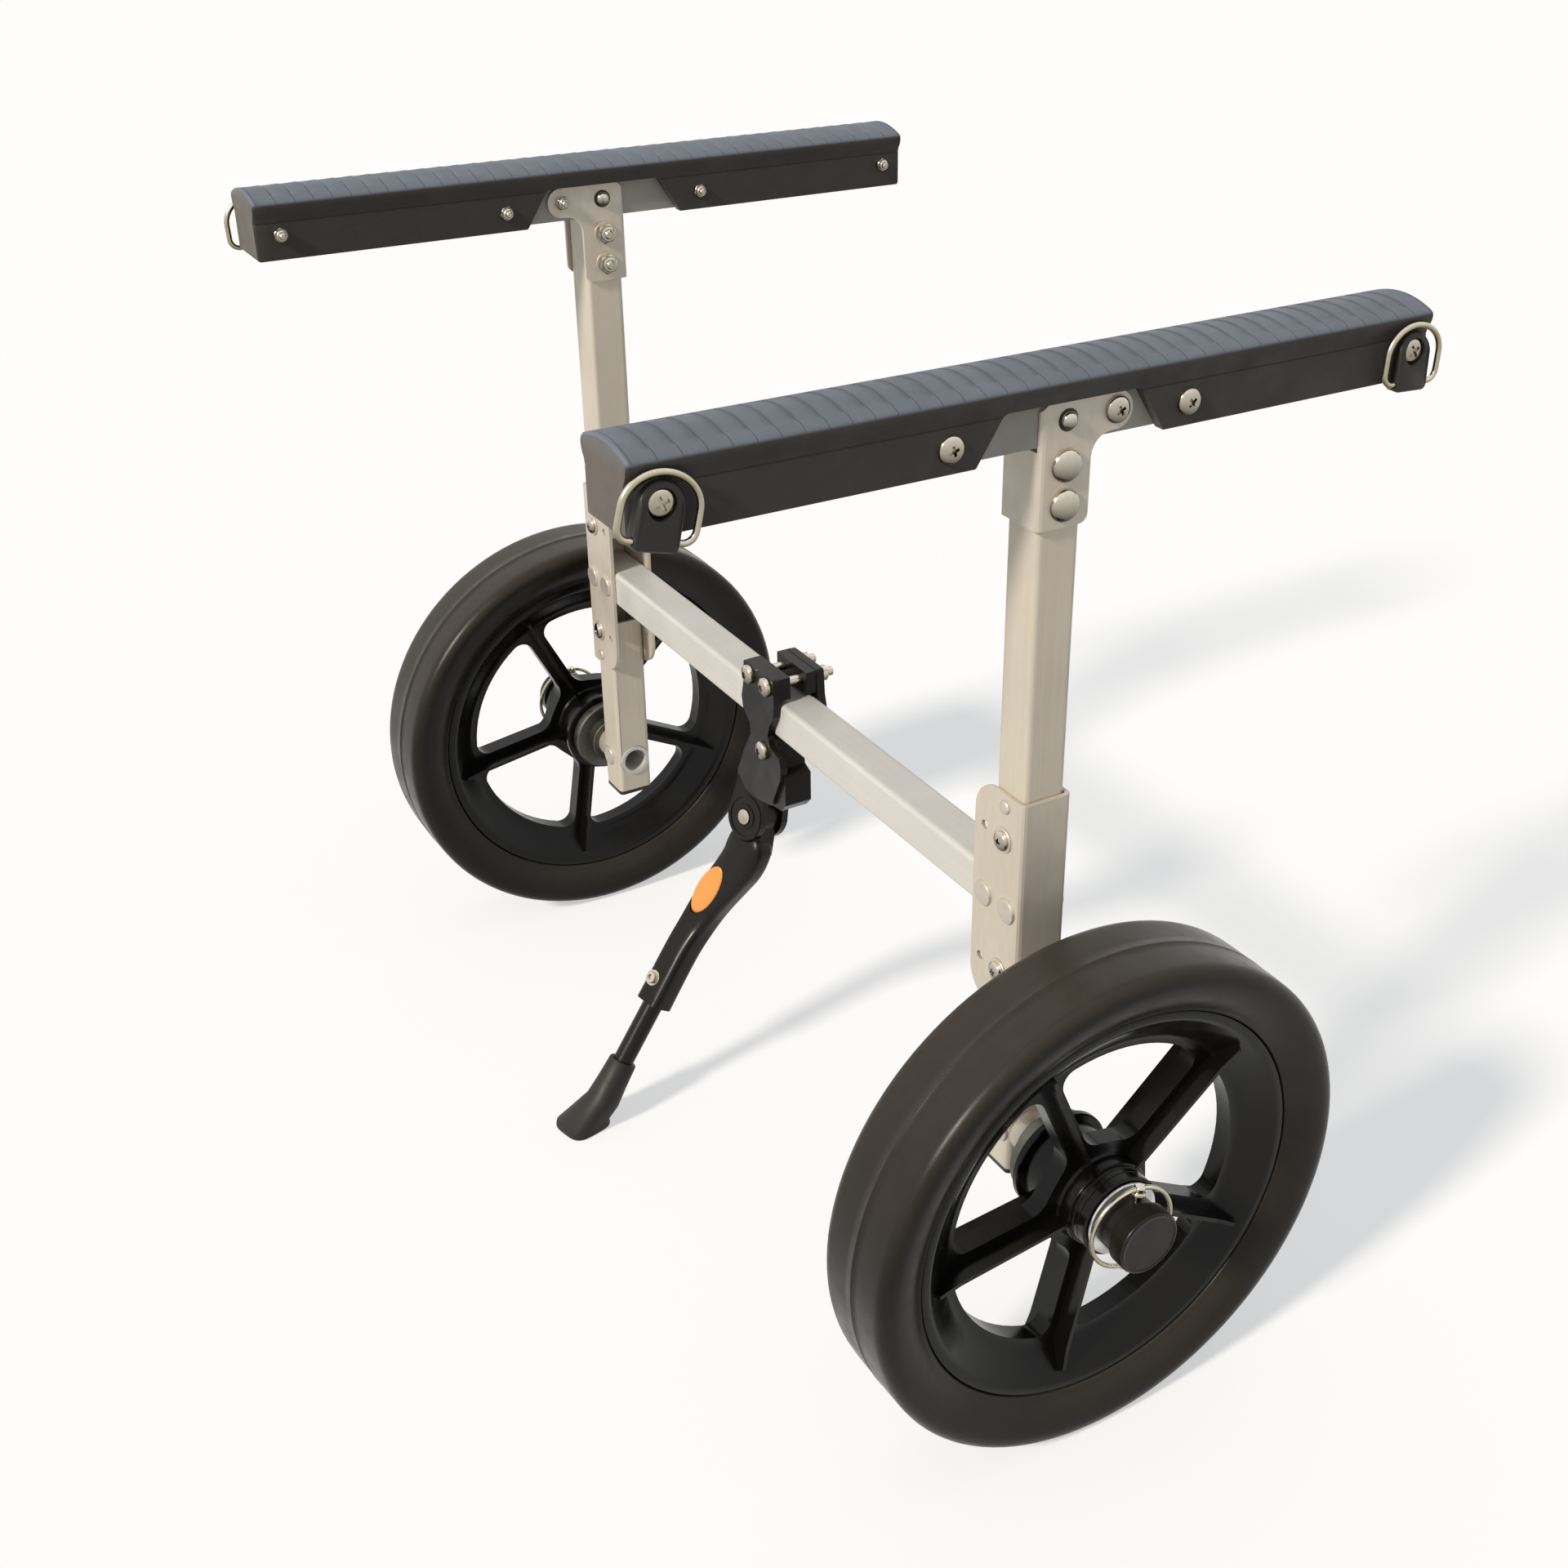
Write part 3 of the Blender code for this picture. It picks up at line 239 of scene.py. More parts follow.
def bunk_rubber(name, side, top, end, line):
    """Matte rubber: charcoal sides, a slate top that is a painted sky reflection with cloudy and lighter rubbed
    patches, ends painted paler as sunlit faces, and painted shade as dark lines down in the grooves.
    """
    m = material(name, side, 0.6, 0.0, 0.3)
    facing, at = normal(m), axes(m, space(m))
    # painted sky reflection: faces that look up, high on the pad, take the slate top colour
    painted_sky_top_mask = times(m, ramp(m, facing["Z"], 0.10, 0.60), ramp(m, at["Z"], TOP_FROM, TOP_FULL))
    # painted light: the faces at the bunk's ends, turned along it, take a paler tone as if in the sun
    painted_sunlit_end_mask = ramp(m, math(m, "ABSOLUTE", facing["X"]), 0.75, 0.95)
    wipe = ramp(m, noise(m, 1.0, 5.0, (18, 40, 40), 0.65), 0.52, 0.76)
    base = mix_colour(m, times(m, wipe, 0.22), side, shade(side, 2.4))
    base = mix_colour(m, painted_sunlit_end_mask, base, end)
    cloud = ramp(m, noise(m, 28.0, 5.0, rough=0.6), 0.3, 0.7)
    # the painted sky reflection on top, with a cloudy tone and lighter rubbed patches of wear
    painted_sky_top_and_wear = mix_colour(m, cloud, top, shade(top, 0.84))
    rub = ramp(m, noise(m, 1.0, 4.0, (120, 30, 60), 0.7), 0.62, 0.72)
    painted_sky_top_and_wear = mix_colour(m, times(m, rub, 0.35), painted_sky_top_and_wear, shade(top, 1.35))
    base = mix_colour(m, painted_sky_top_mask, base, painted_sky_top_and_wear)
    # the distance from the last groove, up and down between 0 and half a pitch
    half_pitch = GROOVE_PITCH / 2
    wave = math(m, "PINGPONG", math(m, "ADD", at["X"], -GROOVE_START), half_pitch)
    # painted shade: a dark line in the last colour down each groove on the top
    groove_shade_mask = ramp(m, wave, half_pitch - 0.0005, half_pitch - 0.0001)
    base = mix_colour(m, times(m, groove_shade_mask, painted_sky_top_mask, 0.65), base, line)
    base = mix_colour(m, times(m, specks(m), 0.25), base, top)
    return surface(m, base, 70.0, 0.54, 0.68, noise(m, 1400.0, 3.0), 0.00010)


ALLOY_Z = bare_metal("alloy_upright", (0.66, 0.595, 0.49), (0.57, 0.51, 0.415), 0.50, 0.25, (700, 700, 6))
ALLOY_Y = bare_metal("alloy_crossbar", (0.69, 0.665, 0.62), (0.61, 0.585, 0.54), 0.50, 0.25, (700, 6, 700))
STEEL = bare_metal("bracket_steel", (0.64, 0.575, 0.48), (0.55, 0.495, 0.41), 0.48, 0.30, (240, 240, 60), 0.00005)
# nickel, zinc and the bush metal get a painted shade, their dark last colour, on faces that look down
NICKEL = bare_metal("bright_nickel", (0.80, 0.74, 0.63), (0.66, 0.59, 0.47), 0.17, 1.0, (300, 300, 300),
                    0.00001, 0.0, painted_shade_below=(0.055, 0.045, 0.025))
RIVET = bare_metal("rivet_alloy", (0.60, 0.55, 0.47), (0.50, 0.45, 0.38), 0.40, 0.5, (300, 300, 300), 0.00003)
ZINC = bare_metal("yellow_zinc", (0.78, 0.74, 0.64), (0.62, 0.54, 0.37), 0.22, 1.0, (200, 200, 200),
                  0.00001, 0.0, painted_shade_below=(0.13, 0.10, 0.035))
BRIGHT = bare_metal("bright_washer", (0.86, 0.87, 0.87), (0.72, 0.72, 0.70), 0.28, 0.8, (200, 200, 200),
                    0.00002, 0.0)
BUSH = bare_metal("bush_metal", (0.20, 0.20, 0.175), (0.13, 0.13, 0.11), 0.34, 0.9, (60, 60, 400),
                  0.00002, 0.3, painted_shade_below=(0.05, 0.05, 0.04))
GREY = moulded("grey_channel", (0.42, 0.40, 0.36), (0.5, 0.47, 0.42), 0.5, 1500.0, 0.00003, 0.2, 0.3)
CLIP = moulded("clip_plastic", (0.021, 0.019, 0.016), (0.12, 0.11, 0.10), 0.40, 1600.0, 0.00004, 0.15, 0.3)
RIM = moulded("rim_plastic", (0.0050, 0.0045, 0.0040), (0.05, 0.045, 0.04), 0.22, 900.0, 0.00002, 0.0, 0.20)
TYRE = moulded("tyre_rubber", (0.0105, 0.0078, 0.0054), (0.090, 0.076, 0.060), 0.30, 1200.0, 0.00005, 0.50, 0.18,
               smudge=0.08)
COAT = moulded("stand_paint", (0.0080, 0.0062, 0.0048), (0.055, 0.049, 0.043), 0.28, 700.0, 0.00005, 0.10, 0.20)
FOOT = moulded("foot_rubber", (0.016, 0.014, 0.012), (0.07, 0.06, 0.05), 0.50, 1300.0, 0.00008, 0.15, 0.3)
CAP = moulded("cap_plastic", (0.0090, 0.0068, 0.0050), (0.050, 0.044, 0.037), 0.34, 1600.0, 0.00004, 0.1, 0.22)
ORANGE = moulded("orange_plastic", (0.83, 0.33, 0.075), (0.80, 0.42, 0.16), 0.34, 1200.0, 0.00003, 0.0, 0.4,
                 cloudy=0.94)
# pad colours: sides, a painted sky reflection on top, a painted sunlit tone on the ends, painted shade in the grooves
PAD = bunk_rubber("bunk_rubber", (0.034, 0.030, 0.026), (0.175, 0.195, 0.235), (0.125, 0.108, 0.092),
                  (0.045, 0.050, 0.060))


# outlines and places
def rotated(u, v, angle):
    return u * cos(angle) - v * sin(angle), u * sin(angle) + v * cos(angle)


def disc(radius, steps=48):
    return [(radius * cos(2 * pi * k / steps), radius * sin(2 * pi * k / steps)) for k in range(steps)]


def oblong(half_u, half_v):
    return [(-half_u, -half_v), (half_u, -half_v), (half_u, half_v), (-half_u, half_v)]


def soften(points, radii, steps=6):
    """Rounds each corner of an outline by its own radius; a radius of 0 keeps it sharp."""
    out = []
    n = len(points)
    for i in range(n):
        p = Vector(points[i])
        a = Vector(points[i - 1]) - p
        b = Vector(points[(i + 1) % n]) - p
        if radii[i] <= 0:
            out.append(tuple(p))
            continue
        half = a.angle(b) / 2
        d = min(radii[i] / tan(half), a.length * 0.49, b.length * 0.49)
        r = d * tan(half)
        c = p + (a.normalized() + b.normalized()).normalized() * (r / sin(half))
        s = p + a.normalized() * d - c
        e = p + b.normalized() * d - c
        start, end = atan2(s.y, s.x), atan2(e.y, e.x)
        while end - start > pi:
            end -= 2 * pi
        while end - start < -pi:
            end += 2 * pi
        for k in range(steps + 1):
            t = start + (end - start) * k / steps
            out.append((c.x + r * cos(t), c.y + r * sin(t)))
    return out


def flat(u, v, w):
    return Vector((u, v, w))


def bunk_place(side):
    """u along the bunk, v inboard from the post's middle, w up; the far side is the near one, half a turn on."""
    def place(u, v, w):
        return Vector((-side * u, -side * (v - POST_Y), w))
    return place


def axle_place(side, angle=0.0):
    """u and v round the axle, turned by an angle, and w outboard along it."""
    def place(u, v, w):
        x, z = rotated(u, v, angle)
        return Vector((x, side * w, WHEEL_R + z))
    return place


# meshes
def add_bevel(ob, width, segments=2, angle=35):
    b = ob.modifiers.new("edges", "BEVEL")
    b.width = width
    b.segments = segments
    b.limit_method = "ANGLE"
    b.angle_limit = radians(angle)
    w = ob.modifiers.new("shading", "WEIGHTED_NORMAL")
    w.keep_sharp = True


def smooth_shade(me, angle=35):
    """Smooth faces, sharp at edges over the angle."""
    me.polygons.foreach_set("use_smooth", [True] * len(me.polygons))
    me.set_sharp_from_angle(angle=radians(angle))


def finish(name, bm, mat, smooth):
    bmesh.ops.recalc_face_normals(bm, faces=bm.faces)
    me = bpy.data.meshes.new(name)
    bm.to_mesh(me)
    bm.free()
    ob = bpy.data.objects.new(name, me)
    scene.collection.objects.link(ob)
    me.materials.append(mat)
    smooth_shade(me, smooth)
    return ob


def show(ob, body, slot, *replaced):
    """Puts a piece on its body, in place of the solids that it replaces. The slot is not used."""
    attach(ob, body)
    if replaced:
        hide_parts(*replaced)


def bridge(bm, rings, closed=False):
    """Faces between neighbouring rings of points; a ring of one point is a tip."""
    for i in range(len(rings) if closed else len(rings) - 1):
        p, q = rings[i], rings[(i + 1) % len(rings)]
        n = max(len(p), len(q))
        for k in range(n):
            m = (k + 1) % n
            if len(p) == 1:
                bm.faces.new((p[0], q[k], q[m]))
            elif len(q) == 1:
                bm.faces.new((p[k], p[m], q[0]))
            else:
                bm.faces.new((p[k], p[m], q[m], q[k]))


def loft(name, rows, mat, smooth=35):
    """A skin over rings of points, closed at both ends."""
    bm = bmesh.new()
    rings = [[bm.verts.new(p) for p in row] for row in rows]
    bridge(bm, rings)
    bm.faces.new(rings[0])
    bm.faces.new(rings[-1])
    return finish(name, bm, mat, smooth)


def prism(name, outline, place, low, high, mat, smooth=35):
    return loft(name, [[place(u, v, w) for u, v in outline] for w in (low, high)], mat, smooth)


def lathe(name, profile, place, mat, steps=64, smooth=35):
    """Turns (radius, height) points round w. A profile that starts off the axis is a closed loop."""
    bm = bmesh.new()
    rings = [[bm.verts.new(place(u, v, w)) for u, v in (disc(r, steps) if r else [(0, 0)])] for r, w in profile]
    bridge(bm, rings, closed=len(rings[0]) > 1)
    return finish(name, bm, mat, smooth)


def wire(name, line, radius, mat, steps, closed, up=(0, 1, 0)):
    """A round wire along points, open with flat ends or closed to a loop."""
    bm = bmesh.new()
    points = [Vector(p) for p in line]
    n = len(points)
    rings = []
    for i, p in enumerate(points):
        before = points[i - 1] if (closed or i) else p
        after = points[(i + 1) % n] if (closed or i < n - 1) else p
        way = (after - before).normalized()
        s = way.cross(Vector(up)).normalized()
        c = s.cross(way)
        rings.append([bm.verts.new(p + u * s + v * c) for u, v in disc(radius, steps)])
    bridge(bm, rings, closed)
    if not closed:
        bm.faces.new(rings[0])
        bm.faces.new(rings[-1])
    return finish(name, bm, mat, 50)


def boolean(ob, *cutters, operation="DIFFERENCE"):
    """Applies the cutters to ob at once and removes them."""
    for c in cutters:
        m = ob.modifiers.new(c.name, "BOOLEAN")
        m.operation = operation
        m.solver = "EXACT"
        m.object = c
    me = bpy.data.meshes.new_from_object(ob.evaluated_get(bpy.context.evaluated_depsgraph_get()))
    ob.modifiers.clear()
    ob.data = me
    for c in cutters:
        bpy.data.objects.remove(c, do_unlink=True)
    smooth_shade(me)


# solids that show as they are: welded, edges rounded, finished
def dress(name, mat, bevel=0.0, segments=2, angle=35):
    ob = nodes[name]
    ob.data.materials.clear()
    ob.data.materials.append(mat)
    w = ob.modifiers.new("weld", "WELD")
    w.merge_threshold = 0.00001
    if bevel:
        add_bevel(ob, bevel, segments, angle)


BRACKET_EDGE = 0.0004
for side, tag in SIDES:
    dress("post_" + tag, ALLOY_Z)
    dress("leg_" + tag, ALLOY_Z)
    dress("leg_cap_" + tag, CLIP)
    dress("frame_bracket_" + tag, STEEL, BRACKET_EDGE)
    dress("top_bracket_" + tag, STEEL, BRACKET_EDGE)
    dress("bunk_channel_" + tag, GREY)
    dress("axle_" + tag, ALLOY_Y)
    dress("axle_collar_" + tag, RIVET)
dress("crossbar", ALLOY_Y)
dress("stand_arm", COAT, 0.0007, 3, 30)
dress("stand_rear_jaw", COAT, 0.0006, 3, 30)
dress("stand_rod", COAT)


# fasteners: one mesh for each kind, set at many places
def dome(radius, height, low, steps):
    """The round of a head from beside its top to its rim, which is at the share low of its height."""
    turns = [pi / 2 * k / steps for k in range(1, steps + 1)]
    return [(radius * sin(a), height * (low + (1 - low) * cos(a))) for a in turns]


def cross_cutter(name, radius, depth, top):
    """A tapered cross, for a screw's recess."""
    bars = []
    for k in range(2):
        def place(u, v, w, turn=k * pi / 2):
            taper = 1.0 if w > top - depth else 0.45
            return Vector((*rotated(u * taper, v, turn), w))
        bars.append(prism(name + str(k), oblong(radius, radius * 0.20), place, top - depth, top + depth, NICKEL))
    return bars


def pan_head(name, radius, height):
    """A screw's head with a cross in it."""
    prof = [(0, height), *dome(radius, height, 0.30, 8), (radius, height * 0.12), (radius * 0.965, 0.0), (0, 0.0)]
    ob = lathe(name, prof, flat, NICKEL, 40, 30)
    boolean(ob, *cross_cutter(name + "_cross", radius * 0.56, height * 0.60, height))
    return ob


def button(name, radius, height, mat):
    """A domed bolt or rivet head."""
    prof = [(0, height), *dome(radius, height, 0.16, 10), (radius, height * 0.05), (radius * 0.97, 0.0), (0, 0.0)]
    return lathe(name, prof, flat, mat, 48, 30)


def flat_rivet(name, radius, height, mat):
    shares = ((0, 0.93), (0.5, 0.95), (0.80, 1.0), (0.92, 0.9), (0.98, 0.55), (1.0, 0.0), (0, 0.0))
    return lathe(name, [(radius * r, height * w) for r, w in shares], flat, mat, 48, 30)


def ring_plate(name, outer, inner, thick, mat):
    e = thick * 0.25
    prof = [(inner, 0.0), (outer - e, 0.0), (outer, e), (outer, thick - e), (outer - e, thick),
            (inner + e, thick), (inner, thick - e)]
    return lathe(name, prof, flat, mat, 48, 30)


def lock_nut(name, across, height, collar):
    """A hexagon with rounded corners and a round collar on top."""
    ob = prism(name, disc(across / 2 / cos(pi / 6), 6), flat, 0.0, height, NICKEL, 30)
    edge = 0.0006
    round_off = [(0, height), (across * 0.47, height), (across * 0.49, height - edge),
                 (across * 0.62, height - 0.0016), (across * 0.62, -0.001), (0, -0.001)]
    boolean(ob, lathe(name + "_crown", round_off, flat, NICKEL, 48), operation="INTERSECT")
    top = height + collar
    ring = [(across * 0.22, height - 0.001), (across * 0.42, height - 0.001), (across * 0.42, top - edge),
            (across * 0.36, top), (across * 0.26, top), (across * 0.22, top - edge)]
    boolean(ob, lathe(name + "_ring", ring, flat, NICKEL, 40), operation="UNION")
    return ob


def bolt_end(name, radius, height):
    prof = [(0, height), (radius * 0.75, height), (radius, height - radius * 0.3), (radius, 0.0), (0, 0.0)]
    return lathe(name, prof, flat, NICKEL, 32)


WASHER_THICK = 0.0011
MASTERS = {
    "pan": pan_head("master_pan", 0.0056, 0.0030),
    "pan_big": pan_head("master_pan_big", 0.0068, 0.0037),
    "dome": button("master_dome", 0.0083, 0.0050, NICKEL),
    "small_dome": button("master_small_dome", 0.0045, 0.0042, NICKEL),
    "tiny_rivet": button("master_tiny_rivet", 0.0040, 0.0020, RIVET),
    "recess": ring_plate("master_recess", 0.0056, 0.0030, 0.0002, CLIP),
    "rivet": flat_rivet("master_rivet", 0.0075, 0.0017, RIVET),
    "washer": ring_plate("master_washer", 0.0072, 0.0030, WASHER_THICK, RIVET),
    "nut": lock_nut("master_nut", 0.0080, 0.0034, 0.0016),
    "big_nut": lock_nut("master_big_nut", 0.0115, 0.0048, 0.0018),
    "thread": bolt_end("master_thread", 0.0020, 0.0030),
    "big_thread": bolt_end("master_big_thread", 0.0029, 0.0030),
}


def fasten(kind, name, at, out, spin=0.0, lift=0.0):
    """Sets a copy of a fastener at a point with its top facing out."""
    ob = bpy.data.objects.new(name, MASTERS[kind].data)
    scene.collection.objects.link(ob)
    out = Vector(out).normalized()
    q = out.to_track_quat("Z", "Y").to_matrix().to_4x4()
    ob.matrix_world = Matrix.Translation(at + out * lift) @ q @ Matrix.Rotation(spin, 4, "Z")
    show(ob, "frame", "steel")


def nutted(kind, name, at, out, spin):
    """A lock nut with the end of its screw showing."""
    fasten("nut", "%s_nut_%s" % (kind, name), at, out, spin)
    fasten("thread", "%s_thread_%s" % (kind, name), at, out, lift=0.0035)


FLANGES = ((-1, "left"), (1, "right"))
RIVETS_V = (0.0165, -0.0050)
SCREWS_UP = (-0.0412, 0.0412)      # on the frame bracket, from the crossbar
TINY_UP = (-0.061, 0.061)
POST_BOLTS_Z = (0.5500, 0.5300)
CHANNEL_RIVET_Z = 0.5720
ARM_SCREW = (0.0285, 0.5725)
COVER_SCREWS_U, COVER_SCREW_Z = (-0.0685, 0.0685), 0.5710
CLIP_NUTS_U, CLIP_NUT_Z = (-0.2120, 0.2120), 0.5740
LEG_RIVET = (-0.0040, 0.1525)

for side, tag in SIDES:
    spot = bunk_place(side)
    outboard, inboard = (0, side, 0), (0, -side, 0)
    # frame bracket: rivets, screws and small rivets on both flanges
    for face, flange in FLANGES:
        out = (-side * face, 0, 0)
        name = tag + "_" + flange + "_%d"
        for k, v in enumerate(RIVETS_V):
            fasten("rivet", "frame_rivet_" + name % k, spot(face * SKIN, v, BAR_Z), out)
        for k, w in enumerate(SCREWS_UP):
            at = spot(face * SKIN, 0.0005, BAR_Z + w)
            if side * face > 0:
                fasten("washer", "frame_washer_" + name % k, at, out)
                fasten("pan", "frame_screw_" + name % k, at, out, 0.4 + k, WASHER_THICK)
            else:
                nutted("frame", name % k, at, out, 0.2 + k)
        for k, w in enumerate(TINY_UP):
            fasten("tiny_rivet", "frame_tiny_" + name % k, spot(face * SKIN, 0.0, BAR_Z + w), out)
    # top bracket: dome bolts, rivet and arm screw outboard, nuts inboard
    for k, w in enumerate(POST_BOLTS_Z):
        name, behind = "%s_%d" % (tag, k), spot(0, SKIN, w)
        fasten("dome", "post_bolt_" + name, spot(0, -SKIN, w), outboard)
        fasten("washer", "post_bolt_washer_" + name, behind, inboard)
        fasten("big_nut", "post_nut_" + name, behind, inboard, 0.3 + k, WASHER_THICK)
        fasten("big_thread", "post_thread_" + name, behind, inboard, lift=0.0058)
    for face, v, out in (("outboard", -SKIN, outboard), ("inboard", SKIN, inboard)):
        fasten("recess", "channel_recess_%s_%s" % (tag, face), spot(0, v, CHANNEL_RIVET_Z), out)
        fasten("small_dome", "channel_rivet_%s_%s" % (tag, face), spot(0, v, CHANNEL_RIVET_Z), out)
    u, w = ARM_SCREW
    fasten("pan_big", "arm_screw_" + tag, spot(u, -SKIN, w), outboard, 0.5)
    nutted("arm", tag, spot(u, SKIN, w), inboard, 0.1)
    # cover screws, with lock nuts inboard, and the nuts of the clips' screws
    for k, u in enumerate(COVER_SCREWS_U):
        name = "%s_%d" % (tag, k)
        fasten("pan_big", "cover_screw_" + name, spot(u, -COVER_HALF, COVER_SCREW_Z), outboard, 0.3 + 2 * k)
        nutted("cover", name, spot(u, COVER_HALF, COVER_SCREW_Z), inboard, 0.2 + k)
    for k, u in enumerate(CLIP_NUTS_U):
        nutted("clip", "%s_%d" % (tag, k), spot(u, COVER_HALF, CLIP_NUT_Z), inboard, 0.6 + k)
    # the rivet low on each lower leg
    for face, flange in FLANGES:
        fasten("rivet", "leg_rivet_%s_%s" % (tag, flange), spot(face * HALF, *LEG_RIVET), (-side * face, 0, 0))

for ob in MASTERS.values():
    bpy.data.objects.remove(ob)

# bunk covers
LIP_INSIDE = 0.0168            # the grooves run out here, short of the rounded lip
GROOVE_DEPTH = 0.0009
TILE_RISE = 0.0005             # each tile between two grooves starts this much above the end of the last
# share of the pitch: start of the gentle wall, bottom, top of the steep wall
GROOVE_AT = (0.430, 0.490, 0.530)
CROWN_FROM, CROWN_LOW, CROWN_TOP = 0.0213, 0.5941, 0.5985
# half of the section from the bottom edge to the crown: (across, up)
PAD_SIDE = (
    (0.0192, 0.5588), (0.0197, 0.5593), (0.0197, 0.5640), (0.0197, 0.5700), (0.0197, 0.5770), (0.0197, 0.5806),
    (0.0193, 0.5811), (0.0197, 0.5816), (0.0198, 0.5824), (0.0204, 0.5843), (0.0216, 0.5872), (0.0224, 0.5893),
    (0.0227, 0.5908), (0.0227, 0.5922), (0.0222, 0.5934), (CROWN_FROM, CROWN_LOW),
)
PAD_TOP = (0.0200, 0.0186, 0.0174, 0.0166, 0.0156, 0.0140, 0.0122, 0.0104, 0.0086, 0.0068, 0.0050, 0.0034, 0.0016, 0.0)
END_EASE, END_INSET = 0.0015, 0.0012     # the ends are drawn in over this length, by this much

half_pad = [(across, up, 0) for across, up in PAD_SIDE]
for across in PAD_TOP:
    up = CROWN_LOW + (CROWN_TOP - CROWN_LOW) * (1 - (across / CROWN_FROM) ** 2)
    half_pad.append((across, up, min(1.0, max(0.0, (LIP_INSIDE - across) / 0.0030))))
pad_section = half_pad + [(-across, up, share) for across, up, share in reversed(half_pad[:-1])]
pad_end = [PAD_HALF - END_EASE, PAD_HALF - 0.0004, PAD_HALF]
pad_stations = [-x for x in reversed(pad_end)]
for g in range(GROOVES):
    pad_stations += [GROOVE_START + (g + s) * GROOVE_PITCH for s in (0.0, *GROOVE_AT, 0.62, 0.80)]
pad_stations += [GROOVE_START + GROOVES * GROOVE_PITCH, *pad_end]


def dip(x):
    """How far the top lies below the crown at x: the tiles' slope and the grooves between them."""
    if abs(x) > abs(GROOVE_START) + 1e-6:
        return 0.0
    p = ((x - GROOVE_START) / GROOVE_PITCH + 1e-6) % 1.0
    begin, bottom, end = GROOVE_AT
    slope = TILE_RISE * ((p + 1 - end) % 1.0)
    if begin < p <= bottom:
        return slope + (GROOVE_DEPTH - slope) * (p - begin) / (bottom - begin)
    if bottom < p < end:
        return GROOVE_DEPTH * (end - p) / (end - bottom)
    return slope


# the notch below each pad, where the top bracket shows: half its width at two heights
NOTCH_LOW, NOTCH_LOW_Z = 0.0545, 0.5588
NOTCH_HIGH, NOTCH_HIGH_Z = 0.0392, 0.5824
below = 0.0030
notch_half = NOTCH_LOW + (NOTCH_LOW - NOTCH_HIGH) / (NOTCH_HIGH_Z - NOTCH_LOW_Z) * below
NOTCH = soften([(-notch_half, NOTCH_LOW_Z - below), (notch_half, NOTCH_LOW_Z - below),
                (NOTCH_HIGH, NOTCH_HIGH_Z), (-NOTCH_HIGH, NOTCH_HIGH_Z)], [0, 0, 0.005, 0.005], 8)
HOLLOW = [(-GRIP, 0.5560), (GRIP, 0.5560), (GRIP, 0.5888), (-GRIP, 0.5888)]
PAD_WALL = 0.005                # at each end of the hollow

for side, tag in SIDES:
    spot = bunk_place(side)
    rows = []
    for x in pad_stations:
        ease = max(0.0, 1 - (PAD_HALF - abs(x)) / END_EASE)
        inset = END_INSET * ease ** 2
        row = []
        for across, up, share in pad_section:
            if abs(across) > 0.004:
                across -= copysign(inset, across)
            if up > 0.585:
                up -= inset
            elif up < 0.5595:
                up += inset
            row.append(spot(x, across, up - dip(x) * share))
        rows.append(row)
    cover = loft("bunk_pad_" + tag, rows, PAD, 28)
    hollow = prism("pad_hollow_" + tag, HOLLOW, lambda u, v, w: spot(w, u, v),
                   PAD_WALL - PAD_HALF, PAD_HALF - PAD_WALL, PAD)
    notch = prism("pad_notch_" + tag, NOTCH, lambda u, v, w: spot(u, w, v), -0.03, 0.03, PAD)
    boolean(cover, hollow, notch)
    show(cover, "frame", "pad_rubber", "bunk_cover_" + tag)

# clips and tie rings, in each clip's own frame: u along the bunk, v up, w outboard
CLIPS = (("near_left", -1, -0.213, 14.0), ("near_right", -1, 0.213, 3.0),
         ("far_left", 1, -0.213, -2.0), ("far_right", 1, 0.213, 2.0))
CLIP_Z = 0.5750
SIDE_FACE = POST_Y + COVER_HALF
CLIP_HALF, CLIP_HEAD, CLIP_FOOT = 0.0108, 0.0102, -0.0205
CLIP_MID, CLIP_MID_HALF = -0.007, 0.0135      # the edges are drawn in towards this height
CLIP_THIN, CLIP_SWELL, SWELL_OVER = 0.0046, 0.0034, 0.0150
# (drawn in by, share of the thickness)
CLIP_LAYERS = ((0.0, 0.0), (0.0, 0.80), (0.0004, 0.93), (0.0012, 1.0))
CLIP_OUTLINE = [(CLIP_HALF * cos(pi * k / 16), CLIP_HEAD * sin(pi * k / 16)) for k in range(17)]
CLIP_OUTLINE += soften([(-CLIP_HALF, 0.0), (-CLIP_HALF, CLIP_FOOT), (CLIP_HALF, CLIP_FOOT), (CLIP_HALF, 0.0)],
                       [0, 0.003, 0.003, 0], 5)[1:-1]
WELL_FLOOR = SIDE_FACE + 0.0036
WELL_OUT = SIDE_FACE + 0.02
WELL = [(0, WELL_FLOOR), (0.0066, WELL_FLOOR), (0.0070, WELL_FLOOR + 0.0004), (0.0072, WELL_OUT), (0, WELL_OUT)]
HEAD_R, HEAD_RIM, HEAD_RISE = 0.0064, 0.0006, 0.0015
CLIP_HEAD_TURNS = [pi / 2 * k / 8 for k in range(1, 9)]
CLIP_SCREW = [(0, HEAD_RIM + HEAD_RISE), *((HEAD_R * sin(a), HEAD_RIM + HEAD_RISE * cos(a)) for a in CLIP_HEAD_TURNS),
              (HEAD_R, 0.0), (0, 0.0)]
CLIP_SCREW = [(r, WELL_FLOOR + w) for r, w in CLIP_SCREW]

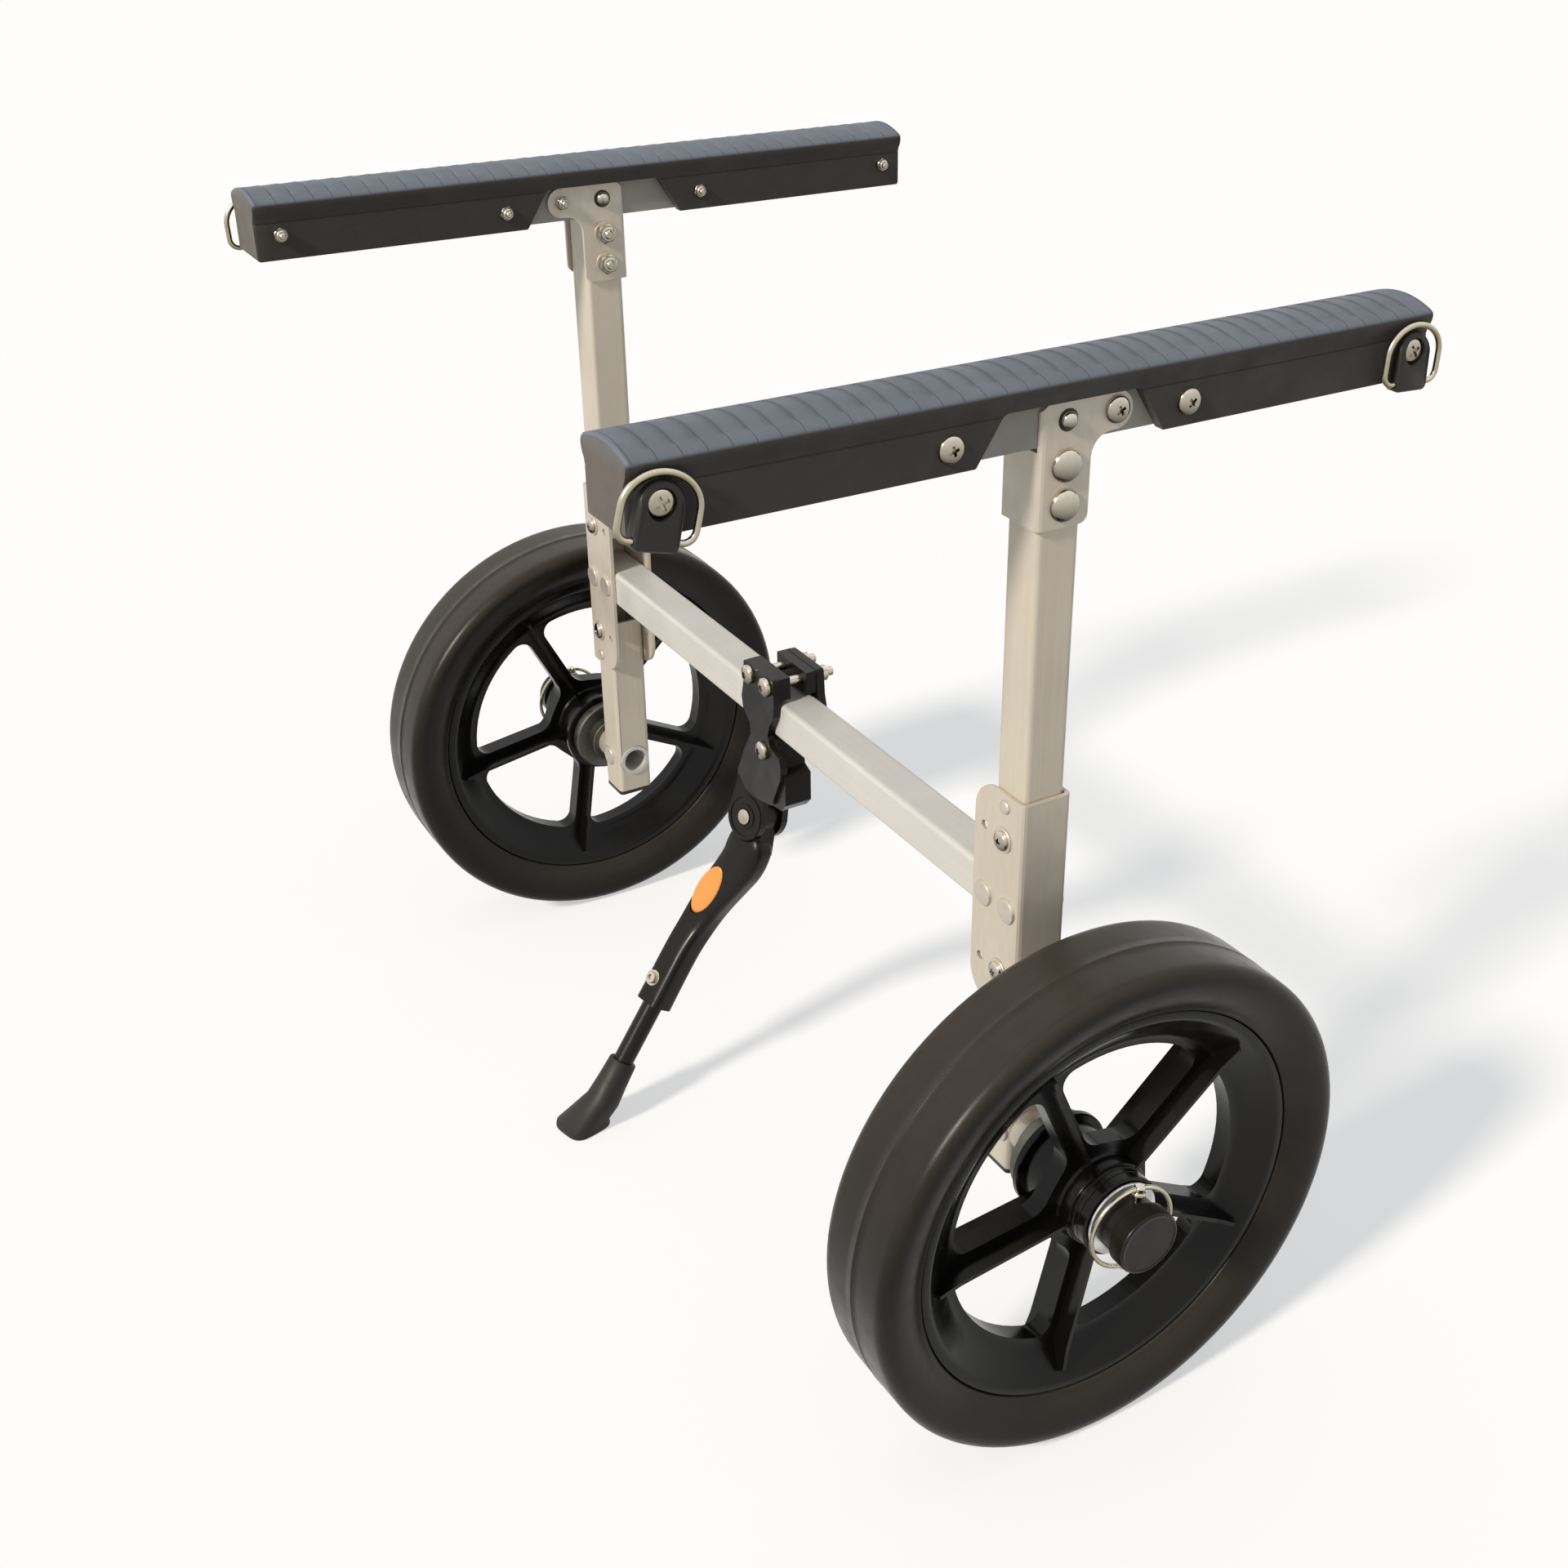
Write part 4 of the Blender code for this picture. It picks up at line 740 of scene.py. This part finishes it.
RING_WIRE = 0.0016
RING_PLANE = SIDE_FACE + GAP + 0.0048
RING_HALF, RING_CORNER = 0.01825, 0.0058
RING_CROWN = 0.0156            # height of the round above the straight sides
RING_SIDE, RING_BAR = -0.0018, -0.0163        # heights of the top of the sides and of the bar in the clip
side_end = RING_BAR + RING_CORNER
half_ring = [(-RING_HALF, RING_SIDE + (side_end - RING_SIDE) * k / 4) for k in range(1, 4)]
for k in range(13):
    a = pi + pi * k / 24
    half_ring.append((RING_CORNER - RING_HALF + RING_CORNER * cos(a), side_end + RING_CORNER * sin(a)))
RING_PATH = [(RING_HALF * cos(pi * k / 36), RING_CROWN * sin(pi * k / 36) + RING_SIDE) for k in range(37)]
RING_PATH += half_ring
RING_PATH += [((RING_HALF - RING_CORNER) * (2 * k / 8 - 1), RING_BAR) for k in range(1, 8)]
RING_PATH += [(-u, v) for u, v in reversed(half_ring)]

for tag, side, along, tilt in CLIPS:
    def place(u, v, w, turn=0.0):
        x, z = rotated(*rotated(u, v, turn), radians(-tilt))
        return Vector((along + x, side * w, CLIP_Z + z))

    # body: a wedge, thin at the head and thick round the ring's bar
    rows = []
    for inset, share in CLIP_LAYERS:
        row = []
        for u, v in CLIP_OUTLINE:
            u *= 1 - inset / CLIP_HALF
            v = (v - CLIP_MID) * (1 - inset / CLIP_MID_HALF) + CLIP_MID
            swell = min(1.0, max(0.0, (CLIP_HEAD - v) / SWELL_OVER))
            row.append(place(u, v, SIDE_FACE + (CLIP_THIN + CLIP_SWELL * swell) * share))
        rows.append(row)
    clip = loft("clip_" + tag, rows, CLIP, 40)
    bar_hole = [(RING_PLANE + a, RING_BAR + b) for a, b in disc(RING_WIRE + GAP, 24)]
    bore = prism("clip_bore_" + tag, bar_hole, lambda u, v, w: place(w, v, u), -0.02, 0.02, CLIP)
    boolean(clip, bore, lathe("clip_well_" + tag, WELL, place, CLIP, 40))
    show(clip, "frame", "black_plastic", "ring_clip_" + tag)
    # cross-headed screw in the well
    head = lathe("clip_screw_" + tag, CLIP_SCREW, place, NICKEL, 40)
    bars = [prism("clip_cross_%s_%d" % (tag, k), oblong(0.0036, 0.0009),
                  lambda u, v, w: place(u, v, w, 0.6 + k * pi / 2), SIDE_FACE + 0.0044, SIDE_FACE + 0.008, NICKEL)
            for k in range(2)]
    boolean(head, *bars)
    show(head, "frame", "steel")
    ring = wire("ring_" + tag, [place(u, v, RING_PLANE) for u, v in RING_PATH], RING_WIRE, ZINC, 16, True)
    show(ring, "ring_" + tag, "zinc", "tie_ring_" + tag)

# wheels: profiles are (radius, outboard), from the middle of the wheel or along the axle
SPOKES = 5
STEP = 2 * pi / SPOKES
TURNS = {"near": radians(41.0), "far": radians(45.0)}
# tyre section, half: bead, sidewall, shoulder, tread
TYRE_WALL = (
    (0.1222, 0.0185), (0.1223, 0.0200), (0.1230, 0.0209), (0.1243, 0.0216), (0.1258, 0.0228), (0.1280, 0.0245),
    (0.1310, 0.0264), (0.1345, 0.0281), (0.1380, 0.0292), (0.1412, 0.0298), (0.1436, 0.0300),
)
SHOULDER = [(WHEEL_R - 0.0082 + 0.0078 * sin(pi * k / 16), 0.0218 + 0.0081 * cos(pi * k / 16)) for k in range(9)]
TREAD_R = WHEEL_R - 0.0002
TREAD = ((TREAD_R - 0.0001, 0.0190), (TREAD_R, 0.0120), (TREAD_R, 0.0060), (TREAD_R, 0.0005), (WHEEL_R, 0.00025))
HALF_TYRE = [*TYRE_WALL, *SHOULDER, *TREAD]
# rim: lip and dish down to the flat web, then the hub's outer and inner ends
WEB_HALF = 0.0058
HALF_RIM = (
    (0.1219, 0.0185), (0.1216, 0.0195), (0.1208, 0.0200), (0.1178, 0.0199), (0.1163, 0.0194), (0.1145, 0.0182),
    (0.1095, 0.0142), (0.1045, 0.0102), (0.1012, 0.0077), (0.0990, 0.0064), (0.0965, WEB_HALF), (0.0300, WEB_HALF),
    (0.0275, WEB_HALF + 0.0006), (0.0264, WEB_HALF + 0.0020),
)
HUB_OUTER = (
    (0.0262, 0.3425), (0.0258, 0.3431), (0.0247, 0.3433), (0.0247, 0.3447), (0.0240, 0.3452), (0.0245, 0.3457),
    (0.0245, 0.3484), (0.0239, 0.3488), (0.0245, 0.3492), (0.0245, 0.3538), (0.0238, 0.3545), (0.0135, 0.3545),
    (0.0118, 0.3535),
)
HUB_INNER = (
    (0.0118, 0.2974), (0.0128, 0.2970), (0.0298, 0.2970), (0.0305, 0.2977), (0.0305, 0.3008), (0.0298, 0.3015),
    (0.0262, 0.3018),
)
RIB = soften([(0.0240, 0.0040), (0.0975, 0.0040), (0.1120, 0.0150), (0.1098, 0.0190), (0.0960, 0.0172),
              (0.0240, 0.0162)], [0, 0, 0, 0.0010, 0.02, 0], 4)
RIB_HALF = 0.00125
WINDOW_CUT = 0.012             # each way from the middle of the wheel
# pieces on the axle
SNUG = 0.0115
BUSH_TURNED = (
    (SNUG, 0.2805), (0.0165, 0.2805), (0.0170, 0.2810), (0.0170, 0.2885), (0.0258, 0.2885), (0.0265, 0.2892),
    (0.0265, 0.2958), (0.0260, 0.2964), (SNUG, 0.2964),
)
WASHER_TURNED = ((SNUG, 0.3551), (0.0219, 0.3551), (0.0222, 0.3554), (0.0222, 0.3564), (0.0219, 0.3567), (SNUG, 0.3567))
# the end cap, with a skirt that runs back to the washer
CAP_TURNED = (
    (0, 0.3733), (SNUG, 0.3733), (SNUG, 0.3578), (0.0166, 0.3578), (0.0170, 0.3582), (0.0170, 0.3690),
    (0.0187, 0.3690), (0.0190, 0.3693), (0.0190, 0.3784), (0.0188, 0.3791), (0.0183, 0.3797), (0.0176, 0.3800),
    (0.0172, 0.3799), (0.0166, 0.3796), (0.0158, 0.3796), (0, 0.3797),
)
# the lock pin, by height across the axle, and the spring ring that is coiled round its neck
PIN_TURNED = (
    (0, -0.0268), (0.0019, -0.0268), (0.0022, -0.0264), (0.0022, 0.0231), (0.0030, 0.0234), (0.0031, 0.0260),
    (0.0025, 0.0268), (0, 0.0268),
)
PIN_Y = 0.3640
PIN_LEAN = radians(-8.0)
HOOP_R, HOOP_WIRE, HOOP_TILT = 0.0252, 0.0013, radians(4.0)
COIL_R, COIL_WIRE, COIL_PITCH, COIL_UP = 0.0031, 0.0009, 0.0008, 0.0222


def both_faces(half, first, last):
    """A half section on both sides of the wheel's middle, with what closes it at its outboard and inboard ends."""
    out_face = [(r, WHEEL_Y + w) for r, w in half]
    in_face = [(r, WHEEL_Y - w) for r, w in reversed(half)]
    return [*out_face, *first, *last, *in_face]


def window_outline(spoke_half=0.0066, outer=0.0945, inner=0.0345, ro=0.0090, ri=0.0130):
    """The opening between the spoke along u and the next one, a step on, with round corners."""
    outer_side, inner_side = spoke_half + ro, spoke_half + ri
    outer_along = sqrt((outer - ro) ** 2 - outer_side ** 2)
    inner_along = sqrt((inner + ri) ** 2 - inner_side ** 2)
    outer_turn, inner_turn = atan2(outer_side, outer_along), atan2(inner_side, inner_along)
    edge = []
    for j in range(11):
        t = inner_turn + pi + (pi / 2 - inner_turn) * j / 10
        edge.append((inner_along + ri * cos(t), inner_side + ri * sin(t)))
    for j in range(11):
        t = -pi / 2 + (outer_turn + pi / 2) * j / 10
        edge.append((outer_along + ro * cos(t), outer_side + ro * sin(t)))
    arc = [outer_turn + (STEP - 2 * outer_turn) * j / 12 for j in range(1, 12)]
    next_edge = [rotated(u, -v, STEP) for u, v in reversed(edge)]
    return edge + [(outer * cos(t), outer * sin(t)) for t in arc] + next_edge


WINDOW = window_outline()

for side, tag in SIDES:
    body = "wheel_" + tag
    around, fixed = axle_place(side, TURNS[tag]), axle_place(side)
    tyre = lathe("tyre_dressed_" + tag, both_faces(HALF_TYRE, (), ()), around, TYRE, 120, 40)
    show(tyre, body, "tyre_rubber", "tyre_" + tag)

    rim = lathe("rim_dressed_" + tag, both_faces(HALF_RIM, HUB_OUTER, HUB_INNER), around, RIM, 96, 30)
    windows, ribs = [], []
    for q in range(SPOKES):
        shape = [rotated(u, v, q * STEP) for u, v in WINDOW]
        windows.append(prism("window_%s_%d" % (tag, q), shape, around, WHEEL_Y - WINDOW_CUT, WHEEL_Y + WINDOW_CUT, RIM))
    boolean(rim, *windows)
    # the tall thin rib on both faces of each spoke
    for q in range(SPOKES):
        for face in (1, -1):
            def on_spoke(u, v, w):
                return around(*rotated(u, w, q * STEP), WHEEL_Y + face * v)
            ribs.append(prism("rib_%s_%d_%d" % (tag, q, face), RIB, on_spoke, -RIB_HALF, RIB_HALF, RIM))
    boolean(rim, *ribs, operation="UNION")
    add_bevel(rim, 0.0005)
    show(rim, body, "black_plastic", "rim_" + tag)

    bush = lathe("bush_dressed_" + tag, BUSH_TURNED, fixed, BUSH, 64)
    show(bush, "frame", "black_plastic", "axle_bush_" + tag)
    washer = lathe("washer_dressed_" + tag, WASHER_TURNED, fixed, BRIGHT, 72)
    show(washer, "frame", "zinc", "axle_washer_" + tag)
    pinned = axle_place(side, PIN_LEAN)
    pin = lathe("pin_dressed_" + tag, PIN_TURNED, lambda u, v, w: pinned(u, w, PIN_Y + v), NICKEL, 24)
    show(pin, "frame", "zinc", "axle_pin_" + tag)
    hoop = [pinned(u * cos(HOOP_TILT), v, PIN_Y + u * sin(HOOP_TILT)) for u, v in disc(HOOP_R, 72)]
    show(wire("pin_ring_" + tag, hoop, HOOP_WIRE, ZINC, 14, True), "frame", "zinc")
    turns = [(j / 24, 2 * pi * j / 24) for j in range(37)]
    coil = [pinned(COIL_R * cos(a), COIL_UP + COIL_PITCH * (t - 0.75), PIN_Y + COIL_R * sin(a)) for t, a in turns]
    show(wire("pin_coil_" + tag, coil, COIL_WIRE, ZINC, 10, False, (0, 0, 1)), "frame", "zinc")
    cap = lathe("cap_dressed_" + tag, CAP_TURNED, fixed, CAP, 64)
    show(cap, "frame", "black_plastic", "axle_cap_" + tag)

# folding stand: the fork's plane faces out, and leans and swings from the crossbar
PIVOT = Vector((-0.0108, 0.0261, 0.2154))
lean, swing = radians(15.55), radians(13.94)
OUT = Vector((-cos(lean) * cos(swing), -cos(lean) * sin(swing), sin(lean)))
ACROSS = Vector((0, 0, 1)).cross(OUT).normalized()
RISE = OUT.cross(ACROSS)


def swung(u, v, w):
    """u across the fork, v up and w out, from its pivot."""
    return PIVOT + u * ACROSS + v * RISE + w * OUT


# bolts through both jaws, domed in front and nutted behind: (name, Y, Z)
BOLTS = (("upper_left", 0.0178, 0.3240), ("upper_right", -0.0038, 0.3240), ("lower", 0.0020, 0.2770))
JAW = GRIP + 0.0052 + GAP      # outer face of a jaw, from the crossbar's middle
BOLT_R, NUT_R, BOLT_END = 0.0030, 0.0052, 0.0285
HEAD_WIDE, HEAD_HIGH = 0.0062, 0.0042
BOLT = [(HEAD_WIDE * sin(pi * k / 16), -JAW - HEAD_HIGH * (0.4 + 0.6 * cos(pi * k / 16))) for k in range(9)]
BOLT += [(HEAD_WIDE, -JAW), (BOLT_R, -JAW), (BOLT_R, JAW), (NUT_R, JAW), (NUT_R, JAW + 0.0046), (0.0044, JAW + 0.0054),
         (BOLT_R, JAW + 0.0055), (BOLT_R, BOLT_END - 0.0004), (0.0026, BOLT_END), (0, BOLT_END)]
head_top = -JAW - HEAD_HIGH
for tag, y, z in BOLTS:
    def bolted(u, v, w):
        return Vector((w, y + u, z + v))
    bolt = lathe("bolt_dressed_" + tag, BOLT, bolted, NICKEL, 40)
    boolean(bolt, prism("socket_" + tag, disc(0.0024, 6), bolted, head_top - 0.0010, head_top + 0.0018, NICKEL))
    show(bolt, "frame", "steel", "stand_bolt_" + tag)

# pivot pin, with raised rings round it on the fork's front cheek
CHEEK = 0.0070 + 0.0050         # half the opening of the fork, and a cheek
pin_face = CHEEK + GAP
PIN_R, PIN_HEAD = 0.0040, 0.0052
STAND_PIN = (
    (0, -pin_face - 0.0012), (0.0049, -pin_face - 0.0012), (PIN_HEAD, -pin_face - 0.0009), (PIN_HEAD, -pin_face),
    (PIN_R, -pin_face), (PIN_R, pin_face), (PIN_HEAD, pin_face), (PIN_HEAD, pin_face + 0.0007),
    (0.0050, pin_face + 0.0011), (0.0045, pin_face + 0.0013), (0, pin_face + 0.0013),
)
show(lathe("stand_pin_dressed", STAND_PIN, swung, NICKEL, 40), "frame", "steel", "stand_pin")
for name, inner, outer in (("rim", 0.0128, 0.0152), ("boss", 0.0056, 0.0086)):
    sunk, edge, crest = CHEEK - 0.0004, CHEEK + 0.0004, CHEEK + 0.0009
    prof = [(inner, sunk), (outer, sunk), (outer, edge), (outer - 0.0004, crest), (inner + 0.0004, crest),
            (inner, edge)]
    show(lathe("fork_%s_ring" % name, prof, swung, COAT, 56), "frame", "stand_coat")

# coloured insert, slightly domed, in the leg
INSERT_WIDE, INSERT_LONG = 0.0086, 0.0214
INSERT_AT, INSERT_TURN = (-0.0238, -0.0620), radians(-26.0)
INSERT_FACE = 0.0106
# (drawn in by, above the leg's face)
INSERT_LAYERS = ((0.0, -0.0019), (0.0, -0.0002), (0.0004, 0.0002), (0.0014, 0.0005), (0.004, 0.0008))


def insert_outline(inset, steps):
    """The insert's oval in the fork's plane, drawn in all round."""
    out = []
    for c, s in disc(1.0, steps):
        u, v = rotated((INSERT_WIDE - inset) * c, (INSERT_LONG - inset) * s, INSERT_TURN)
        out.append((INSERT_AT[0] + u, INSERT_AT[1] + v))
    return out


rows = [[swung(u, v, INSERT_FACE + w) for u, v in insert_outline(inset, 48)] for inset, w in INSERT_LAYERS]
show(loft("insert_dressed", rows, ORANGE, 40), "stand_leg", "orange_plastic", "stand_insert")

# the inner rod's line, from the knee in the leg to the ground
foot_on_ground = swung(-0.0431, -0.24145, 0.0642)
knee = swung(-0.0345, -0.1280, 0.0210)
run = (foot_on_ground - knee).normalized()
rod_side = run.cross(OUT).normalized()
rod_deep = rod_side.cross(run)


def up_rod(u, v, w):
    """A point beside the rod, w up along it from the ground."""
    return foot_on_ground - run * w + rod_side * u + rod_deep * v


def super_loop(centre, side_dir, deep_dir, half_side, half_deep, power, steps=48):
    """A ring of points round a centre: an ellipse at a power of 1, and squarer below it."""
    out = []
    for c, s in disc(1.0, steps):
        u = half_side * copysign(abs(c) ** power, c)
        v = half_deep * copysign(abs(s) ** power, s)
        out.append(centre + side_dir * u + deep_dir * v)
    return out


def spline(rows, steps):
    """Rows on a smooth curve through the given ones."""
    out = []
    for i in range(len(rows) - 1):
        a, b, c, d = rows[max(i - 1, 0)], rows[i], rows[i + 1], rows[min(i + 2, len(rows) - 1)]
        for k in range(steps):
            t = k / steps
            out.append([0.5 * (2 * q + (r - p) * t + (2 * p - 5 * q + 4 * r - w) * t ** 2
                               + (3 * q - p - 3 * r + w) * t ** 3) for p, q, r, w in zip(a, b, c, d)])
    return out + [rows[-1]]


# the leg: a smooth skin through the solid's sections, with the same tongue, reliefs, bores and pocket
# (across, out, down from the pivot, half width, half depth)
LEG_ROWS = (
    (0.0010, 0.0010, 0.0140, 0.0115, 0.0075), (0.0005, 0.0018, 0.0185, 0.0150, 0.0086),
    (-0.0008, 0.0020, 0.0250, 0.0160, 0.0086), (-0.0038, 0.0020, 0.0350, 0.0156, 0.0086),
    (-0.0110, 0.0020, 0.0480, 0.0146, 0.0086), (-0.0193, 0.0020, 0.0620, 0.0136, 0.0086),
    (-0.0271, 0.0022, 0.0770, 0.0124, 0.0088), (-0.0315, 0.0058, 0.0920, 0.0111, 0.0093),
    (-0.0334, 0.0128, 0.1080, 0.0104, 0.0096), (-0.0345, 0.0210, 0.1280, 0.0104, 0.0096),
    (-0.0358, 0.0288, 0.1485, 0.0106, 0.0098),
)
TONGUE, TONGUE_HALF = 0.0128, 0.0065
RELIEF_R, RELIEF_OUT = 0.0170, 0.0316
fine_rows = spline(LEG_ROWS, 5)
mids = [swung(across, -down, out) for across, out, down, wide, deep in fine_rows]
loops = []
for i, (across, out, down, wide, deep) in enumerate(fine_rows):
    way = (mids[min(i + 1, len(mids) - 1)] - mids[max(i - 1, 0)]).normalized()
    side_dir = way.cross(OUT).normalized()
    loops.append(super_loop(mids[i], side_dir, side_dir.cross(way).normalized(), wide, deep, 0.50, 64))
leg = loft("leg_dressed", loops, COAT, 40)
link_shape = [(-TONGUE, -0.0250), (TONGUE, -0.0250), (TONGUE * 0.9, 0), (-TONGUE * 0.9, 0)]
boolean(
    leg,
    prism("leg_tongue", disc(TONGUE, 64), swung, -TONGUE_HALF, TONGUE_HALF, COAT),
    prism("tongue_link", link_shape, swung, -0.0064, 0.0064, COAT),
    operation="UNION",
)
boolean(
    leg,
    prism("relief_front", disc(RELIEF_R, 64), swung, TONGUE_HALF, RELIEF_OUT, COAT),
    prism("relief_rear", disc(RELIEF_R, 64), swung, -RELIEF_OUT, -TONGUE_HALF, COAT),
    prism("leg_pin_bore", disc(PIN_R + GAP, 32), swung, -0.0158, 0.0158, COAT),
    prism("insert_pocket", insert_outline(-GAP, 64), swung, 0.0084, 0.0128, COAT),
    prism("leg_rod_bore", disc(0.0074, 40), up_rod, 0.0060, (foot_on_ground - knee).length + 0.0200, COAT),
)
add_bevel(leg, 0.0004, 2, 40)
show(leg, "stand_leg", "stand_coat", "stand_leg")

# set screw that holds the rod, on a washer, on the leg's sloping face
screw_at = swung(-0.0380, -0.1328, 0.0230) + rod_deep * 0.0093
SET_SCREW = {
    "washer": ((0.0030, -0.0012), (0.0056, -0.0012), (0.0056, 0.0006), (0.0052, 0.0010), (0.0030, 0.0010)),
    "head": ((0, -0.0010), (0.0040, -0.0010), (0.0040, 0.0030), (0.0036, 0.0035), (0.0020, 0.0035), (0.0020, 0.0020),
             (0, 0.0020)),
}
for name, prof in SET_SCREW.items():
    def on_leg(u, v, w):
        return screw_at + rod_side * u + run * v + rod_deep * w
    show(lathe("set_screw_" + name, prof, on_leg, NICKEL, 32), "stand_leg", "steel")

# rubber foot: round on the rod, square and flat on the ground
SOLE = Vector((-0.1425, 0.0448, 0))
# (up the rod, half size, power) and (up from the ground, half width, half depth, power)
FOOT_UPPER = ((0.055523, 0.0080, 1.0), (0.055396, 0.0090, 1.0), (0.054509, 0.0096, 1.0), (0.039297, 0.0103, 0.96),
              (0.025353, 0.0112, 0.90))
FOOT_LOWER = ((0.0050, 0.0149, 0.0157, 0.58), (0.0020, 0.0152, 0.0160, 0.55), (0.0006, 0.0150, 0.0158, 0.55),
              (0.0, 0.0142, 0.0150, 0.55))
flat_side = Vector((rod_side.x, rod_side.y, 0)).normalized()
flat_deep = Vector((0, 0, 1)).cross(flat_side)
if rod_deep.dot(flat_deep) < 0:
    flat_deep = -flat_deep
rows = [super_loop(up_rod(0, 0, up), rod_side, rod_deep, half, half, power) for up, half, power in FOOT_UPPER]
rows += [super_loop(SOLE + Vector((0, 0, up)), flat_side, flat_deep, wide, deep, power)
         for up, wide, deep, power in FOOT_LOWER]
show(loft("foot_dressed", rows, FOOT, 45), "stand_rod", "black_plastic", "stand_foot")

# floor
FLOOR_HALF = 30
FLOOR_TONE = 0.55
FLOOR_LIFT = 0.53              # lifts the floor to white where it is seen; it keeps its shadow
floor_mesh = bpy.data.meshes.new("floor")
floor_mesh.from_pydata([(u, v, 0) for u, v in oblong(FLOOR_HALF, FLOOR_HALF)], [], [(0, 1, 2, 3)])
floor = bpy.data.objects.new("floor", floor_mesh)
scene.collection.objects.link(floor)
floor_mat = material("floor", (FLOOR_TONE, FLOOR_TONE, FLOOR_TONE), 0.9, specular=0.0)
floor_mesh.materials.append(floor_mat)


def background_rays(tree):
    """1 for rays that show the background: from the camera, in a reflection or through glass."""
    rays = tree.nodes.new("ShaderNodeLightPath")
    total = rays.outputs["Is Camera Ray"]
    for key in ("Is Glossy Ray", "Is Transmission Ray"):
        larger = tree.nodes.new("ShaderNodeMath")
        larger.operation = "MAXIMUM"
        tree.links.new(total, larger.inputs[0])
        tree.links.new(rays.outputs[key], larger.inputs[1])
        total = larger.outputs[0]
    return total


shader(floor_mat)["Emission Color"].default_value = (1, 1, 1, 1)
lifted = times(floor_mat, background_rays(floor_mat.node_tree), FLOOR_LIFT)
link(floor_mat, lifted, shader(floor_mat)["Emission Strength"])

# world: white where it is seen, and a soft cool light on the object
SKY_COLOUR, SKY_LIGHT = (0.90, 0.95, 1.0, 1), 0.32
world = bpy.data.worlds.new("studio")
scene.world = world
world.use_nodes = True
tree = world.node_tree
tree.nodes.clear()
pick = tree.nodes.new("ShaderNodeMixShader")
tree.links.new(background_rays(tree), pick.inputs[0])
for i, colour, strength in ((1, SKY_COLOUR, SKY_LIGHT), (2, (1, 1, 1, 1), 1.0)):
    sky = tree.nodes.new("ShaderNodeBackground")
    sky.inputs["Color"].default_value = colour
    sky.inputs["Strength"].default_value = strength
    tree.links.new(sky.outputs[0], pick.inputs[i])
tree.links.new(pick.outputs[0], tree.nodes.new("ShaderNodeOutputWorld").inputs["Surface"])

# sun
SUN_FROM = Vector((-0.80, -0.19, 0.57))
sun = bpy.data.lights.new("key", "SUN")
sun.energy = 3.1
sun.angle = radians(8)
sun.color = (1.0, 0.94, 0.86)
key = bpy.data.objects.new("key", sun)
scene.collection.objects.link(key)
key.matrix_world = SUN_FROM.to_track_quat("Z", "Y").to_matrix().to_4x4()

scene.view_settings.view_transform = "Standard"
